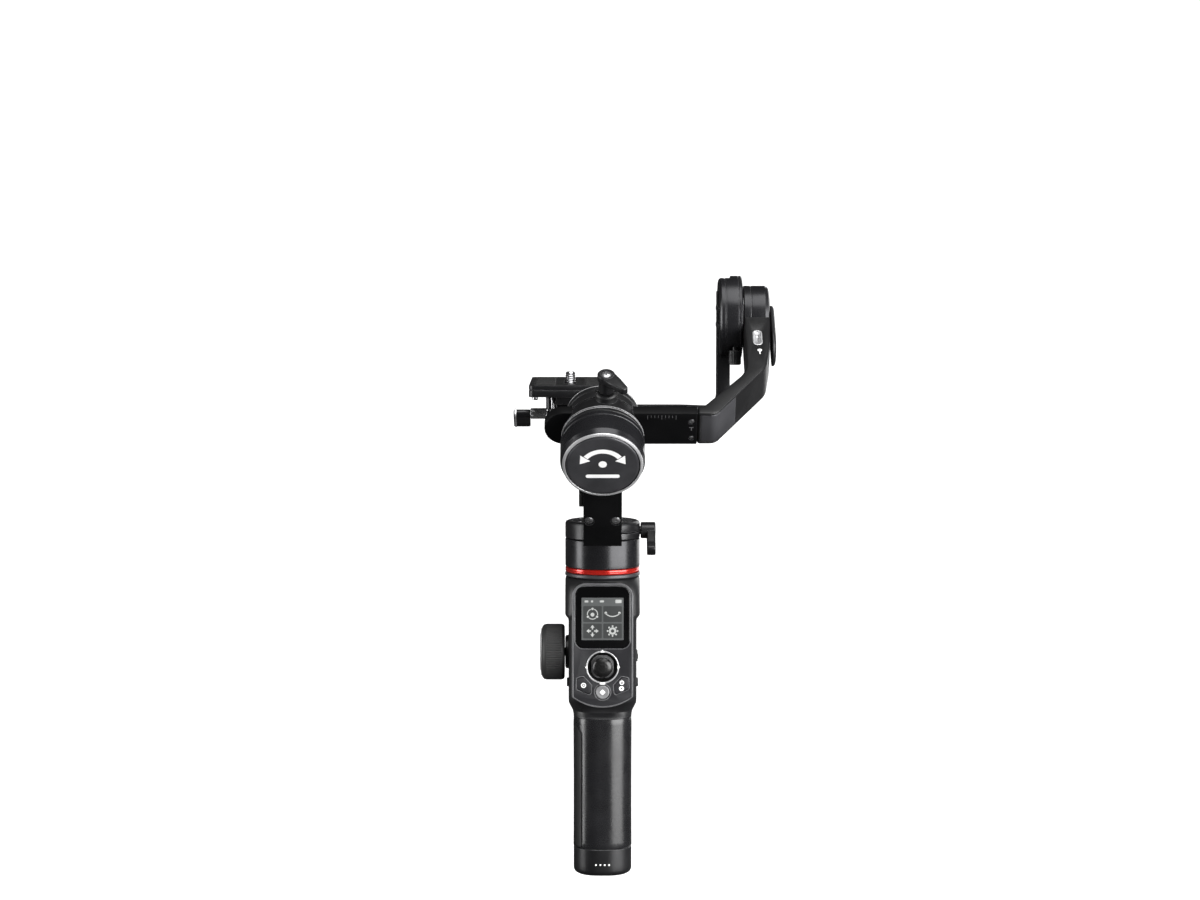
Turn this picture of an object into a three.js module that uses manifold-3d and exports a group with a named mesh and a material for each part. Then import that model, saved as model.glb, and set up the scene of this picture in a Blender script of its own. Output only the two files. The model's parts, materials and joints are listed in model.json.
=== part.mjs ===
// A handheld three-axis camera gimbal, in millimetres, +Z up, seen by its operator along +Y.
// The origin is the centre of the tripod socket in the bottom face of the grip.
import * as THREE from 'three';
import { mergeVertices } from 'three/addons/utils/BufferGeometryUtils.js';
import Module from 'manifold-3d';

// ---- Driving dimensions ----
const GAP = 0.3; // between parts that rest on each other
const ROUND = 32; // facets round the large motor shells
const SLOTS = 6; // winding slots in each motor's stator

// The handle, from the bottom up. Heights are drawn from a datum below the base, and the finished part is
// lowered so that its origin lies in the base's bottom face.
const BASE_Z = 4;
const BASE_FLOOR = 11.5;
const BASE_CAP_TOP = 19.8;
const PAD_BOTTOM = 20.4;
const GRIP_TOP = 98.5;
const CONTROL_TOP = 181.5;
const PAN_RING_TOP = 184.4;
const RED_RING_TOP = 187.7;
const ROTOR_TOP = 204.6;
const PAN_CLAMP_TOP = 215;

const GRIP_HALF_WIDTH = 17.3;
const GRIP_HALF_DEPTH = 21.5;
const GRIP_CORNER = 13.5;
const CONTROL_HALF_DEPTH = 22;
const SHOULDER_HALF_WIDTH = 22.2;
const WAIST_HALF_WIDTH = 20.2;
const WALL = 2;

const PANEL_FRONT = -24.7; // the operator's panel
const PANEL_BACK = -22.3;
const STICK_Z = 130.3;
const RECORD_Z = 115.4;
const GLASS_HALF_WIDTH = 16.1;
const GLASS_BOTTOM = 141.5;
const GLASS_TOP = 178.9;
const WHEEL_Z = 135.9;
const WHEEL_RADIUS = 16.7;
const TRIGGER_PIVOT_Z = 156;
const RELEASE_Z = 116.3;

const PAN_RADIUS = 22.2; // the pan motor and the slider in its clamp
const SLIDER_BOTTOM = 206.8;
const SLIDER_TOP = 212.5;
const SLIDER_HALF_WIDTH = 11;
const PAN_LEVER_Z = 209;

const AXES_Z = 336; // where the pan, roll and tilt axes meet
const ROLL_DROP_DEG = 35; // the roll axis slopes down towards the operator

// Along the roll axis, measured from the crossing of the axes towards the operator
const ROLL_BACK = 88.6;
const BAR_BACK = 98.1;
const BAR_FRONT = 104.7;
const ROLL_JOINT = 116.8;
const POST_BACK = 118;
const POST_FRONT = 127;
const ROLL_FRONT = 137.4;
const STATOR_RADIUS = 23.8;
const ROTOR_RADIUS = 20.65;
const BAR_HALF_HEIGHT = 11.35;
const BAR_LEFT = -33;
const BAR_RIGHT = 53.4;

const TILT_OUTER_RADIUS = 18.6; // the tilt motor, along X
const TILT_INNER_RADIUS = 24.5;
const CLAMP_LEFT = 68.5;
const CLAMP_RIGHT = 82.4;
const HOUSING_LEFT = 82.8;
const HOUSING_RIGHT = 98.6;
const COVER_RIGHT = 101.4;
const COVER_HALF_WIDTH = 11.2;

const ARM_LEFT = 67.6; // the L-shaped tilt arm
const ARM_RIGHT = 75.3;
const ARM_BOTTOM = 271;
const SHELF_TOP = 283;
const SHELF_LEFT = -32.4;
const ARM_TOP = 352;
const TILT_BAR_HALF_WIDTH = 8;
const SHELF_HALF_WIDTH = 18;

const PLATE_X = -19; // the quick-release plate
const PLATE_HALF_WIDTH = 23.8;
const PLATE_HALF_LENGTH = 45;
const SEAT_Z = 298;
const GROOVE_Z = 286.5;
const PLATE_BOTTOM = 291.2;
const RECEIVER_HALF_WIDTH = 14;

// ---- Materials ----
const looks = {
  shell: [0x1b1b1c, 0.55, 0.1],
  panel: [0x39393b, 0.6, 0.1],
  metal: [0x1d1d1f, 0.38, 0.8],
  cover: [0x3c3d40, 0.5, 0.3],
  rubber: [0x141414, 0.9, 0],
  red: [0xb3261e, 0.25, 0.7],
  glass: [0x050506, 0.05, 0],
  display: [0x8a8d8c, 0.4, 0],
  board: [0x14452b, 0.6, 0],
  copper: [0xa9622c, 0.4, 0.8],
  steel: [0xb9bbbd, 0.3, 1],
  brass: [0xb08d4a, 0.35, 1],
  cell: [0x2f6f8f, 0.5, 0],
  white: [0xd8d8d6, 0.5, 0],
};

const materials = {};
for (const [name, [color, roughness, metalness]] of Object.entries(looks)) {
  materials[name] = new THREE.MeshStandardMaterial({ name, color, roughness, metalness });
}

// ---- Solid modelling ----
const wasm = await Module();
wasm.setup();

// Turns a closed geometry into a solid with its faces pointing out.
function solid(geometry) {
  const bare = geometry.clone();
  bare.deleteAttribute('normal');
  bare.deleteAttribute('uv');
  const merged = mergeVertices(bare, 1e-4);
  const corners = [];
  for (let i = 0; i < merged.index.count; i += 3) {
    const [a, b, c] = [0, 1, 2].map((k) => merged.index.getX(i + k));
    if (a !== b && b !== c && c !== a) corners.push([a, b, c]);
  }
  const make = (triangles) => new wasm.Manifold(new wasm.Mesh({
    numProp: 3,
    vertProperties: new Float32Array(merged.attributes.position.array),
    triVerts: new Uint32Array(triangles.flat()),
  }));
  const made = make(corners);
  return made.volume() > 0 ? made : make(corners.map(([a, b, c]) => [a, c, b]));
}

// Turns a solid back into a geometry with flat faces.
function geometryOf(made) {
  const { vertProperties, triVerts, numProp } = made.getMesh();
  const points = new Float32Array(triVerts.length * 3);
  triVerts.forEach((v, i) => {
    for (let k = 0; k < 3; k += 1) points[i * 3 + k] = vertProperties[v * numProp + k];
  });
  const geometry = new THREE.BufferGeometry();
  geometry.setAttribute('position', new THREE.BufferAttribute(points, 3));
  geometry.computeVertexNormals();
  return geometry;
}

const unit = {
  X: [1, 0, 0],
  Y: [0, 1, 0],
  Z: [0, 0, 1],
  '-X': [-1, 0, 0],
  '-Y': [0, -1, 0],
  '-Z': [0, 0, -1],
};

// Turns a geometry so that its own x, y and z point along the three named directions, then moves it.
function turned(geometry, directions, place = [0, 0, 0]) {
  const [x, y, z] = directions.map((name) => new THREE.Vector3(...unit[name]));
  const matrix = new THREE.Matrix4().makeBasis(x, y, z).setPosition(...place);
  return solid(geometry.clone().applyMatrix4(matrix));
}

function box([x0, x1], [y0, y1], [z0, z1]) {
  const geometry = new THREE.BoxGeometry(x1 - x0, y1 - y0, z1 - z0);
  return solid(geometry.translate((x0 + x1) / 2, (y0 + y1) / 2, (z0 + z1) / 2));
}

// A turned part. Profile points are [radius, distance along the axis], and centre is the axis's
// other two coordinates.
function lathe(axis, profile, centre = [0, 0], segments = 24) {
  const points = profile.map(([r, d]) => new THREE.Vector2(r, d));
  const geometry = new THREE.LatheGeometry(points, segments);
  const [u, v] = centre;
  const layouts = {
    X: [['Y', 'X', '-Z'], [0, u, v]],
    Y: [['Z', 'Y', '-X'], [u, 0, v]],
    Z: [['X', 'Z', '-Y'], [u, v, 0]],
  };
  return turned(geometry, ...layouts[axis]);
}

const rod = (axis, radius, [from, to], centre = [0, 0], segments = 14) => (
  lathe(axis, [[0, from], [radius, from], [radius, to], [0, to]], centre, segments)
);

const tube = (axis, inner, outer, [from, to], centre = [0, 0], segments = 20) => (
  lathe(axis, [[inner, from], [outer, from], [outer, to], [inner, to], [inner, from]], centre, segments)
);

// A shape pushed through a slab. The shape lies in plane 'XY', 'XZ' or 'YZ', and the slab spans
// the third axis.
function prism(plane, shape, [from, to], bevel = 0) {
  const outline = Array.isArray(shape)
    ? new THREE.Shape(shape.map(([a, b]) => new THREE.Vector2(a, b)))
    : shape;
  const geometry = new THREE.ExtrudeGeometry(outline, {
    depth: to - from - 2 * bevel,
    curveSegments: 4,
    bevelEnabled: bevel > 0,
    bevelThickness: bevel,
    bevelSize: bevel,
    bevelOffset: -bevel,
    bevelSegments: 1,
  });
  geometry.translate(0, 0, bevel);
  const layouts = {
    XY: [['X', 'Y', 'Z'], [0, 0, from]],
    XZ: [['X', 'Z', '-Y'], [0, to, 0]],
    YZ: [['Y', 'Z', 'X'], [from, 0, 0]],
  };
  return turned(geometry, ...layouts[plane]);
}

// A rectangle with round corners.
function roundedRect([x0, x1], [y0, y1], r) {
  const shape = new THREE.Shape();
  shape.moveTo(x0 + r, y0);
  shape.lineTo(x1 - r, y0).absarc(x1 - r, y0 + r, r, -Math.PI / 2, 0);
  shape.lineTo(x1, y1 - r).absarc(x1 - r, y1 - r, r, 0, Math.PI / 2);
  shape.lineTo(x0 + r, y1).absarc(x0 + r, y1 - r, r, Math.PI / 2, Math.PI);
  shape.lineTo(x0, y0 + r).absarc(x0 + r, y0 + r, r, Math.PI, 1.5 * Math.PI);
  return shape;
}

const centredRect = (halfWidth, halfDepth, r) => (
  roundedRect([-halfWidth, halfWidth], [-halfDepth, halfDepth], r)
);

// ---- The scene graph ----
const group = new THREE.Group();
// In the roll frame x stays across, y runs up the slanted post and z runs along the roll axis.
const rollFrame = new THREE.Group();
rollFrame.position.set(0, 0, AXES_Z);
rollFrame.rotation.x = THREE.MathUtils.degToRad(90 + ROLL_DROP_DEG);
group.add(rollFrame);

function add(name, made, look, parent = group) {
  const mesh = new THREE.Mesh(geometryOf(made), materials[look]);
  mesh.name = name;
  parent.add(mesh);
}

const addRoll = (name, made, look) => add(name, made, look, rollFrame);

// ---- Grip ----
function grip() {
  const outline = (inset) => centredRect(
    GRIP_HALF_WIDTH - inset, GRIP_HALF_DEPTH - inset, GRIP_CORNER - inset,
  );
  const cavity = prism('XY', centredRect(14, GRIP_HALF_DEPTH - 2.2, 10), [BASE_FLOOR, GRIP_TOP]);
  const cap = prism('XY', outline(0), [BASE_Z, BASE_CAP_TOP - 4], 1.8)
    .add(prism('XY', outline(0), [BASE_CAP_TOP / 2, BASE_CAP_TOP]))
    .subtract(cavity)
    .subtract(rod('Z', 6, [-1, BASE_FLOOR + 1]));
  add('base_cap', cap, 'metal');
  const [socketTop, threadTop] = [BASE_Z + 9.6, BASE_Z + 8];
  const socket = [
    [3.2, BASE_Z], [5.7, BASE_Z], [5.7, socketTop], [0, socketTop], [0, threadTop], [3.2, threadTop],
    [3.2, BASE_Z],
  ];
  add('tripod_socket', lathe('Z', socket, [0, 0], 20), 'brass');

  const [bottom, top] = [BASE_CAP_TOP + GAP, GRIP_TOP - GAP];
  const padSpan = [PAD_BOTTOM, top - 2];
  const padRegion = (side, grow) => {
    const x = [2 - grow, 30].map((v) => side * v).sort((a, b) => a - b);
    return prism('XY', outline(-1), [padSpan[0] - grow, padSpan[1] + grow])
      .intersect(box(x, [-16.5 - grow, 17 + grow], [0, top]))
      .intersect(box([-40, 40], [-40, 40], [0, top]));
  };
  const skin = (inset) => prism('XY', outline(0), [bottom, top])
    .subtract(prism('XY', outline(inset), [bottom - 1, top + 1]));
  const body = prism('XY', outline(0), [bottom, top])
    .subtract(cavity)
    .subtract(skin(1.5).intersect(padRegion(1, GAP)))
    .subtract(skin(1.5).intersect(padRegion(-1, GAP)));
  const far = 60;
  add('grip_front_cover', body.intersect(box([-far, far], [-far, -GAP / 2], [0, far * 2])), 'shell');
  add('grip_rear_cover', body.intersect(box([-far, far], [GAP / 2, far], [0, far * 2])), 'shell');
  add('left_grip_pad', skin(1.2).intersect(padRegion(-1, 0)), 'rubber');
  add('right_grip_pad', skin(1.2).intersect(padRegion(1, 0)), 'rubber');

  const cell = [
    [0, 14], [8.6, 14], [9.1, 14.5], [9.1, 78.5], [8.6, 79], [3, 79], [2.8, 79.8], [0, 79.8],
  ];
  [-9.6, 9.6].forEach((y, i) => add(`battery_cell_${i + 1}`, lathe('Z', cell, [0, y], 16), 'cell'));
  let board = prism('XY', centredRect(12.6, 17.8, 8.6), [82.5, 84.1]);
  for (const y of [-9.6, 9.6]) {
    board = board.add(lathe('Z', [[0, 80.4], [2, 80.4], [3.5, 83], [0, 83]], [0, y], 12));
  }
  add('battery_board', board, 'board');
}

// ---- Control body ----
function controlShells() {
  const right = [
    [GRIP_HALF_WIDTH, GRIP_TOP], [GRIP_HALF_WIDTH, 101.7], [WAIST_HALF_WIDTH, 108],
    [WAIST_HALF_WIDTH, 157.6],
    [SHOULDER_HALF_WIDTH, 160.2], [SHOULDER_HALF_WIDTH, CONTROL_TOP],
  ];
  const inset = (points, d) => points.map(([x, z]) => [x - d, z]);
  const mirrored = (points) => [...points, ...points.map(([x, z]) => [-x, z]).reverse()];
  const plan = centredRect(SHOULDER_HALF_WIDTH + 0.01, CONTROL_HALF_DEPTH, 10);
  const innerPlan = centredRect(SHOULDER_HALF_WIDTH - WALL, CONTROL_HALF_DEPTH - WALL, 8);
  const outer = prism('XZ', mirrored(right), [-40, 40]).intersect(prism('XY', plan, [90, 190]));
  const inner = prism('XZ', mirrored(inset(right, WALL)), [-40, 40])
    .intersect(prism('XY', innerPlan, [GRIP_TOP + 1.5, CONTROL_TOP - WALL]));
  const window = prism('XZ', roundedRect([-14.5, 14.5], [110, 177.5], 3), [-40, -15]);
  const neckWay = rod('Z', 6, [GRIP_TOP - 1, GRIP_TOP + 4]);
  const wireWay = rod('Z', 3, [CONTROL_TOP - 4, CONTROL_TOP + 1]);
  const wheelSeat = rod('X', 10.4, [-30, -15], [0, WHEEL_Z], 28);
  const slot = box([-6.9, 6.9], [14, 40], [128, 160.5]);
  const portWay = prism('YZ', roundedRect([-14, -4], [131.5, 138.5], 2), [15, 30]);
  const releases = box([-40, 40], [4.5, 11.5], [RELEASE_Z - 2.7, RELEASE_Z + 2.7]);
  let shell = outer;
  for (const cut of [inner, window, neckWay, wireWay, wheelSeat, slot, portWay, releases]) {
    shell = shell.subtract(cut);
  }
  const ears = [-1, 1].map((side) => (
    box([side * 8.4 - 1.1, side * 8.4 + 1.1], [14.5, 21], [152.5, 159.5])
  ));
  for (const ear of ears) shell = shell.add(ear);
  shell = shell.subtract(rod('X', 1.35, [-8.9, 8.9], [18, TRIGGER_PIVOT_Z], 16));
  const far = 60;
  add('control_front_shell', shell.intersect(box([-far, far], [-far, -GAP / 2], [0, 300])), 'shell');
  add('control_rear_shell', shell.intersect(box([-far, far], [GAP / 2, far], [0, 300])), 'shell');
  add('trigger_pin', rod('X', 1.2, [-8.7, 8.7], [18, TRIGGER_PIVOT_Z], 16), 'steel');
  const portCover = roundedRect([-13.6, -4.4], [131.9, 138.1], 1.6);
  add('port_cover', prism('YZ', portCover, [18.4, WAIST_HALF_WIDTH + 0.7]), 'rubber');
}

const sideButton = (side, grow) => [
  [-15.2 - grow, 123.7 + grow], [-11.4, 124.6 + grow], [-6.9 + grow, 119.6 + grow / 2],
  [-7.2 + grow, 113.8 - grow], [-15.2 - grow, 117.2 - grow],
].map(([x, z]) => [side * -x, z]);

function panel() {
  const outline = new THREE.Shape();
  outline.moveTo(-17.9, 112.6);
  outline.lineTo(-17.9, 172).absarc(-9.9, 172, 8, Math.PI, Math.PI / 2, true);
  outline.lineTo(9.9, 180).absarc(9.9, 172, 8, Math.PI / 2, 0, true);
  outline.lineTo(17.9, 112.6);
  outline.quadraticCurveTo(10.5, 106.3, 0, 106.3).quadraticCurveTo(-10.5, 106.3, -17.9, 112.6);
  const glass = (grow) => roundedRect(
    [-GLASS_HALF_WIDTH - grow, GLASS_HALF_WIDTH + grow],
    [GLASS_BOTTOM - grow, GLASS_TOP - 0.6 + grow], 5,
  );
  let plate = prism('XZ', outline, [PANEL_FRONT, PANEL_BACK], 0.4);
  const dish = [[0, -30], [9.7, -30], [9.7, PANEL_FRONT], [7.4, -22.9], [7.4, -20], [0, -20]];
  const cuts = [
    prism('XZ', glass(GAP), [-30, -20]),
    lathe('Y', dish, [0, STICK_Z], 24),
    rod('Y', 4.5, [-30, -20], [0, RECORD_Z]),
    prism('XZ', sideButton(1, GAP), [-30, -20]),
    prism('XZ', sideButton(-1, GAP), [-30, -20]),
  ];
  for (const cut of cuts) plate = plate.subtract(cut);
  add('face_plate', plate, 'panel');
  add('screen_glass', prism('XZ', glass(0), [PANEL_FRONT - 0.4, PANEL_BACK + 0.2], 0.4), 'glass');
  add('display_panel', box([-13.8, 13.8], [-21.7, -19.4], [144, 175.5]), 'display');
  add('main_board', box([-13.6, 13.6], [-16.8, -15.2], [104, 176]), 'board');

  const base = box([-6.6, 6.6], [-22, -17.1], [STICK_Z - 6.6, STICK_Z + 6.6])
    .subtract(rod('Y', 5.2, [-30, -18.4], [0, STICK_Z]));
  add('joystick_base', base, 'steel');
  add('joystick_ring', tube('Y', 2.7, 4.3, [-21.9, -20.1], [0, STICK_Z], 16), 'steel');
  const cap = [
    [0, -28.4], [3.4, -28.1], [5.5, -27.5], [6, -26.9], [5.6, -26.2], [2.9, -25.4], [2, -24.6],
    [2, -19.9], [0, -19.9],
  ];
  add('joystick_cap', lathe('Y', cap, [0, STICK_Z], 16), 'rubber');

  const face = PANEL_FRONT - 0.7;
  add('record_button', rod('Y', 4.1, [face, -23], [0, RECORD_Z]), 'steel');
  add('mode_button', prism('XZ', sideButton(-1, -0.1), [face, -23]), 'shell');
  add('power_button', prism('XZ', sideButton(1, -0.1), [face, -23]), 'shell');
}

function sideControls() {
  const hub = rod('X', 10, [-22.2, -18.6], [0, WHEEL_Z], 28)
    .add(rod('X', 2.5, [-35, -20], [0, WHEEL_Z], 28));
  add('wheel_axle', hub, 'shell');
  const rim = [
    [2.62, -22.6], [15.6, -22.6], [WHEEL_RADIUS, -23.8], [WHEEL_RADIUS, -34.6], [15.2, -36.2],
    [13.3, -36.4],
    [12.6, -35.6], [2.62, -35.6], [2.62, -22.6],
  ];
  add('focus_wheel', lathe('X', rim, [0, WHEEL_Z]), 'rubber');
  const cap = [[0, -37.1], [11.2, -36.9], [12.2, -36.5], [12.2, -35.9], [0, -35.9]];
  add('wheel_cap', lathe('X', cap, [0, WHEEL_Z]), 'metal');

  [['left', -1], ['right', 1]].forEach(([name, side]) => {
    const x = [side * 17.4, side * (WAIST_HALF_WIDTH + 1.3)].sort((a, b) => a - b);
    const face = roundedRect([4.8, 11.2], [RELEASE_Z - 2.4, RELEASE_Z + 2.4], 1.2);
    add(`${name}_release_button`, prism('YZ', face, x), 'metal');
  });

  const trigger = [
    [15, 159], [19, 159.6], [25, 158.6], [28, 150], [28.6, 141], [31.6, 133.6], [29.6, 132.2],
    [25.4, 136.6],
    [23.8, 145], [21, 151.5], [15, 152.6],
  ];
  const lever = prism('YZ', trigger, [-6.3, 6.3])
    .subtract(rod('X', 1.4, [-9, 9], [18, TRIGGER_PIVOT_Z], 16));
  add('trigger', lever, 'metal');
}

// ---- Pan motor ----
function panMotor() {
  const z = CONTROL_TOP + GAP;
  const foot = [
    [2.6, z], [PAN_RADIUS, z], [PAN_RADIUS, PAN_RING_TOP], [4.6, PAN_RING_TOP], [4.6, 200],
    [2.6, 200], [2.6, z],
  ];
  add('pan_base_ring', lathe('Z', foot), 'metal');
  const redSpan = [PAN_RING_TOP + GAP, RED_RING_TOP - GAP];
  add('red_ring', tube('Z', 19.6, PAN_RADIUS, redSpan, [0, 0], ROUND), 'red');
  let stator = tube('Z', 5, 16.6, [PAN_RING_TOP + GAP, 197]);
  for (let i = 0; i < SLOTS; i += 1) {
    const tooth = new THREE.BoxGeometry(6, 1.6, 20).translate(15, 0, 190);
    stator = stator.subtract(solid(tooth.rotateZ((i * 2 * Math.PI) / SLOTS)));
  }
  add('pan_stator', stator, 'copper');
  add('pan_magnets', tube('Z', 17.2, 19, [PAN_RING_TOP + 3.8, 199]), 'steel');
  const bell = [
    [5.2, 197.6], [9, 197.6], [9, 201.6], [19.3, 201.6], [19.3, RED_RING_TOP],
    [PAN_RADIUS, RED_RING_TOP],
    [PAN_RADIUS, ROTOR_TOP], [5.2, ROTOR_TOP], [5.2, 197.6],
  ];
  add('pan_rotor', lathe('Z', bell, [0, 0], ROUND), 'metal');
  const clamp = [
    [0, ROTOR_TOP + GAP], [PAN_RADIUS, ROTOR_TOP + GAP], [PAN_RADIUS, PAN_CLAMP_TOP - 1.4],
    [PAN_RADIUS - 1.4, PAN_CLAMP_TOP], [0, PAN_CLAMP_TOP],
  ];
  const channel = box(
    [-SLIDER_HALF_WIDTH - GAP, SLIDER_HALF_WIDTH + GAP], [-40, 40],
    [SLIDER_BOTTOM - GAP, SLIDER_TOP + GAP],
  );
  const block = lathe('Z', clamp, [0, 0], ROUND)
    .subtract(channel)
    .subtract(rod('X', 2.7, [11, 40], [0, PAN_LEVER_Z]));
  add('pan_clamp', block, 'metal');

  const slope = THREE.MathUtils.degToRad(49);
  const blade = new THREE.BoxGeometry(5.4, 7.2, 15).translate(0, 0, -10.6);
  blade.rotateX(-slope).translate(28.9, 0, PAN_LEVER_Z);
  const lever = rod('X', 2.5, [12, 24], [0, PAN_LEVER_Z])
    .add(rod('X', 4.9, [22.6, 31.6], [0, PAN_LEVER_Z]))
    .add(solid(blade));
  add('pan_lever', lever, 'metal');
}

// ---- Pan arm: the slider, the slanted post and the roll motor's fixed side ----
// A point given up the post and along the roll axis, as the part's own [y, z].
function fromRoll(up, along) {
  const drop = THREE.MathUtils.degToRad(ROLL_DROP_DEG);
  return [
    -along * Math.cos(drop) - up * Math.sin(drop),
    AXES_Z - along * Math.sin(drop) + up * Math.cos(drop),
  ];
}

// Where the plane at a distance along the roll axis meets a height, as [y, z].
function atHeight(along, z) {
  const drop = THREE.MathUtils.degToRad(ROLL_DROP_DEG);
  return fromRoll((z - AXES_Z + along * Math.sin(drop)) / Math.cos(drop), along);
}

const POST_SCREW_UP = -49.8;
const POST_SCREW_X = 7.7;

function panArm() {
  const [flangeBack, flangeFront, flangeTop] = [112.7, POST_BACK - GAP, -42];
  const outline = [
    [20, SLIDER_BOTTOM], atHeight(flangeFront, SLIDER_BOTTOM), fromRoll(flangeTop, flangeFront),
    fromRoll(flangeTop, flangeBack), atHeight(flangeBack, SLIDER_TOP), [20, SLIDER_TOP],
  ];
  let slider = prism('YZ', outline, [-SLIDER_HALF_WIDTH, SLIDER_HALF_WIDTH]);
  for (const side of [-1, 1]) {
    const hole = new THREE.CylinderGeometry(1.7, 1.7, 30, 16).rotateX(Math.PI / 2);
    hole.translate(side * POST_SCREW_X, POST_SCREW_UP, POST_FRONT);
    rollFrame.updateMatrix();
    hole.applyMatrix4(rollFrame.matrix);
    slider = slider.subtract(solid(hole));
  }
  add('pan_slider', slider, 'metal');

  const half = SLIDER_HALF_WIDTH;
  let post = box([-half, half], [-68.9, -15], [POST_BACK, POST_FRONT])
    .subtract(rod('Z', STATOR_RADIUS + GAP, [100, 150], [0, 0], ROUND));
  for (const side of [-1, 1]) {
    const place = [side * POST_SCREW_X, POST_SCREW_UP];
    post = post.subtract(rod('Z', 1.7, [110, 130], place, 12))
      .subtract(rod('Z', 2.8, [125.6, 130], place, 12));
    const screw = [
      [0, 113.5], [1.4, 113.5], [1.4, 126], [2.5, 126], [2.5, 126.8], [2, 127.4], [0, 127.4],
    ];
    addRoll(`post_screw_${side < 0 ? 1 : 2}`, lathe('Z', screw, place, 12), 'steel');
  }
  addRoll('roll_post', post, 'shell');

  const housing = [
    [STATOR_RADIUS, ROLL_JOINT + GAP], [STATOR_RADIUS, 133.4], [22.7, 135.7], [21.3, 136.9],
    [20.9, 136.9], [20.9, 134.6], [3, 134.6], [3, 119.8], [4.6, 119.8], [4.6, 131.4],
    [21.4, 131.4], [21.4, ROLL_JOINT + GAP],
    [STATOR_RADIUS, ROLL_JOINT + GAP],
  ];
  addRoll('roll_housing', lathe('Z', housing, [0, 0], ROUND), 'metal');
  const cap = [[0, 134.9], [20.5, 134.9], [20.5, 136.9], [19.9, ROLL_FRONT], [0, ROLL_FRONT]];
  addRoll('roll_cap', lathe('Z', cap, [0, 0], ROUND), 'cover');
  let stator = tube('Z', 4.9, 15.4, [120.6, 131]);
  for (let i = 0; i < SLOTS; i += 1) {
    const tooth = new THREE.BoxGeometry(5.4, 1.6, 16).translate(14, 0, 126);
    stator = stator.subtract(solid(tooth.rotateZ((i * 2 * Math.PI) / SLOTS)));
  }
  addRoll('roll_stator', stator, 'copper');
}

// ---- Roll motor's turning side, which clamps the cross arm ----
const ROLL_LEVER_X = 2;
const ROLL_LEVER_ALONG = (BAR_BACK + BAR_FRONT) / 2;

function rollRotor() {
  const bell = [
    [5.2, ROLL_JOINT + GAP], [20.9, ROLL_JOINT + GAP], [20.9, 130.4], [16.2, 130.4],
    [16.2, 119.4], [5.2, 119.4],
    [5.2, ROLL_JOINT + GAP],
  ];
  addRoll('roll_rotor', lathe('Z', bell), 'steel');
  const body = [
    [0, ROLL_BACK], [ROTOR_RADIUS - 2.2, ROLL_BACK], [ROTOR_RADIUS, ROLL_BACK + 1.6],
    [ROTOR_RADIUS, 110],
    [ROTOR_RADIUS + 2.6, 112.4], [ROTOR_RADIUS + 2.6, ROLL_JOINT], [0, ROLL_JOINT],
  ];
  const boss = [ROLL_LEVER_X, ROLL_LEVER_ALONG];
  const slot = box(
    [-40, 40], [-BAR_HALF_HEIGHT - GAP, BAR_HALF_HEIGHT + GAP], [BAR_BACK - GAP, BAR_FRONT + GAP],
  );
  const clamp = lathe('Z', body, [0, 0], ROUND)
    .add(rod('Y', 6.2, [15, 24.6], boss))
    .subtract(slot)
    .subtract(rod('Y', 2.5, [5, 30], boss));
  addRoll('roll_clamp', clamp, 'metal');

  const heading = Math.atan2(14.5, 11.9);
  const blade = new THREE.BoxGeometry(13.8, 4, 7).translate(10.4, 0, 0);
  blade.rotateY(-heading).translate(ROLL_LEVER_X, 35, ROLL_LEVER_ALONG);
  const lever = rod('Y', 2.2, [12.2, 26], boss)
    .add(lathe('Y', [[0, 24.9], [4.3, 24.9], [4.6, 33], [5, 33.6], [5, 37.2], [0, 37.2]], boss))
    .add(solid(blade));
  addRoll('roll_lever', lever, 'metal');
}

// ---- Cross arm ----
// Outline of the bent arm seen down the post: [across, along the roll axis], outer side first.
const ARM_OUTER = [
  [60, BAR_FRONT], [62.9, 104.5], [65.2, 103.1], [93.9, 62], [95.8, 54], [97.1, 42], [98.5, 16],
];
const ARM_INNER = [[HOUSING_LEFT, 16], [HOUSING_LEFT, 66.1], [56.6, BAR_BACK]];
const COVER_DEPTH = 1.2;
const PORT_ACROSS = [87.2, 93.1];
const PORT_ALONG = [27.4, 42];

function crossArm() {
  const half = BAR_HALF_HEIGHT;
  const bar = box([BAR_LEFT + half, BAR_RIGHT], [-half, half], [BAR_BACK, BAR_FRONT])
    .add(rod('Z', half, [BAR_BACK, BAR_FRONT], [BAR_LEFT + half, 0], 32));
  addRoll('cross_arm', bar, 'metal');

  const start = BAR_RIGHT + GAP;
  const outline = [[start, BAR_FRONT], ...ARM_OUTER, ...ARM_INNER, [start, BAR_BACK]];
  const motorWay = rod('X', TILT_OUTER_RADIUS + GAP, [70, 110], [0, 0], ROUND);
  const shift = ([x, along], d) => [x - 0.83 * d, along - 0.57 * d];
  const coverPath = (depth, grow) => [
    [start + 1 - grow, BAR_FRONT - depth], [60, BAR_FRONT - depth], shift([65.2, 103.1], depth * 1.1),
    shift([79.5 + grow * 0.57, 82.3 - grow * 0.82], depth),
    [82.5 + grow * 0.57, 84.4 - grow * 0.82],
    [68, 108], [start + 1 - grow, BAR_FRONT + 2],
  ];
  const whole = prism('XZ', outline, [-half, half]).subtract(motorWay);
  const pocket = prism('XZ', coverPath(COVER_DEPTH + GAP, GAP), [-half + 1.6, half - 1.6]);
  const port = prism('XZ', roundedRect(PORT_ACROSS, PORT_ALONG, 2.9), [half - 3, half + 1]);
  addRoll('arm_casting', whole.subtract(pocket).subtract(port), 'metal');
  const lid = prism('XZ', coverPath(COVER_DEPTH, 0), [-half + 1.9, half - 1.9]).intersect(whole);
  addRoll('arm_cover', lid, 'cover');
}

// ---- Tilt motor, about X ----
const KNOB_X = 77.9;
const KNOB_Y = -16.4;

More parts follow.
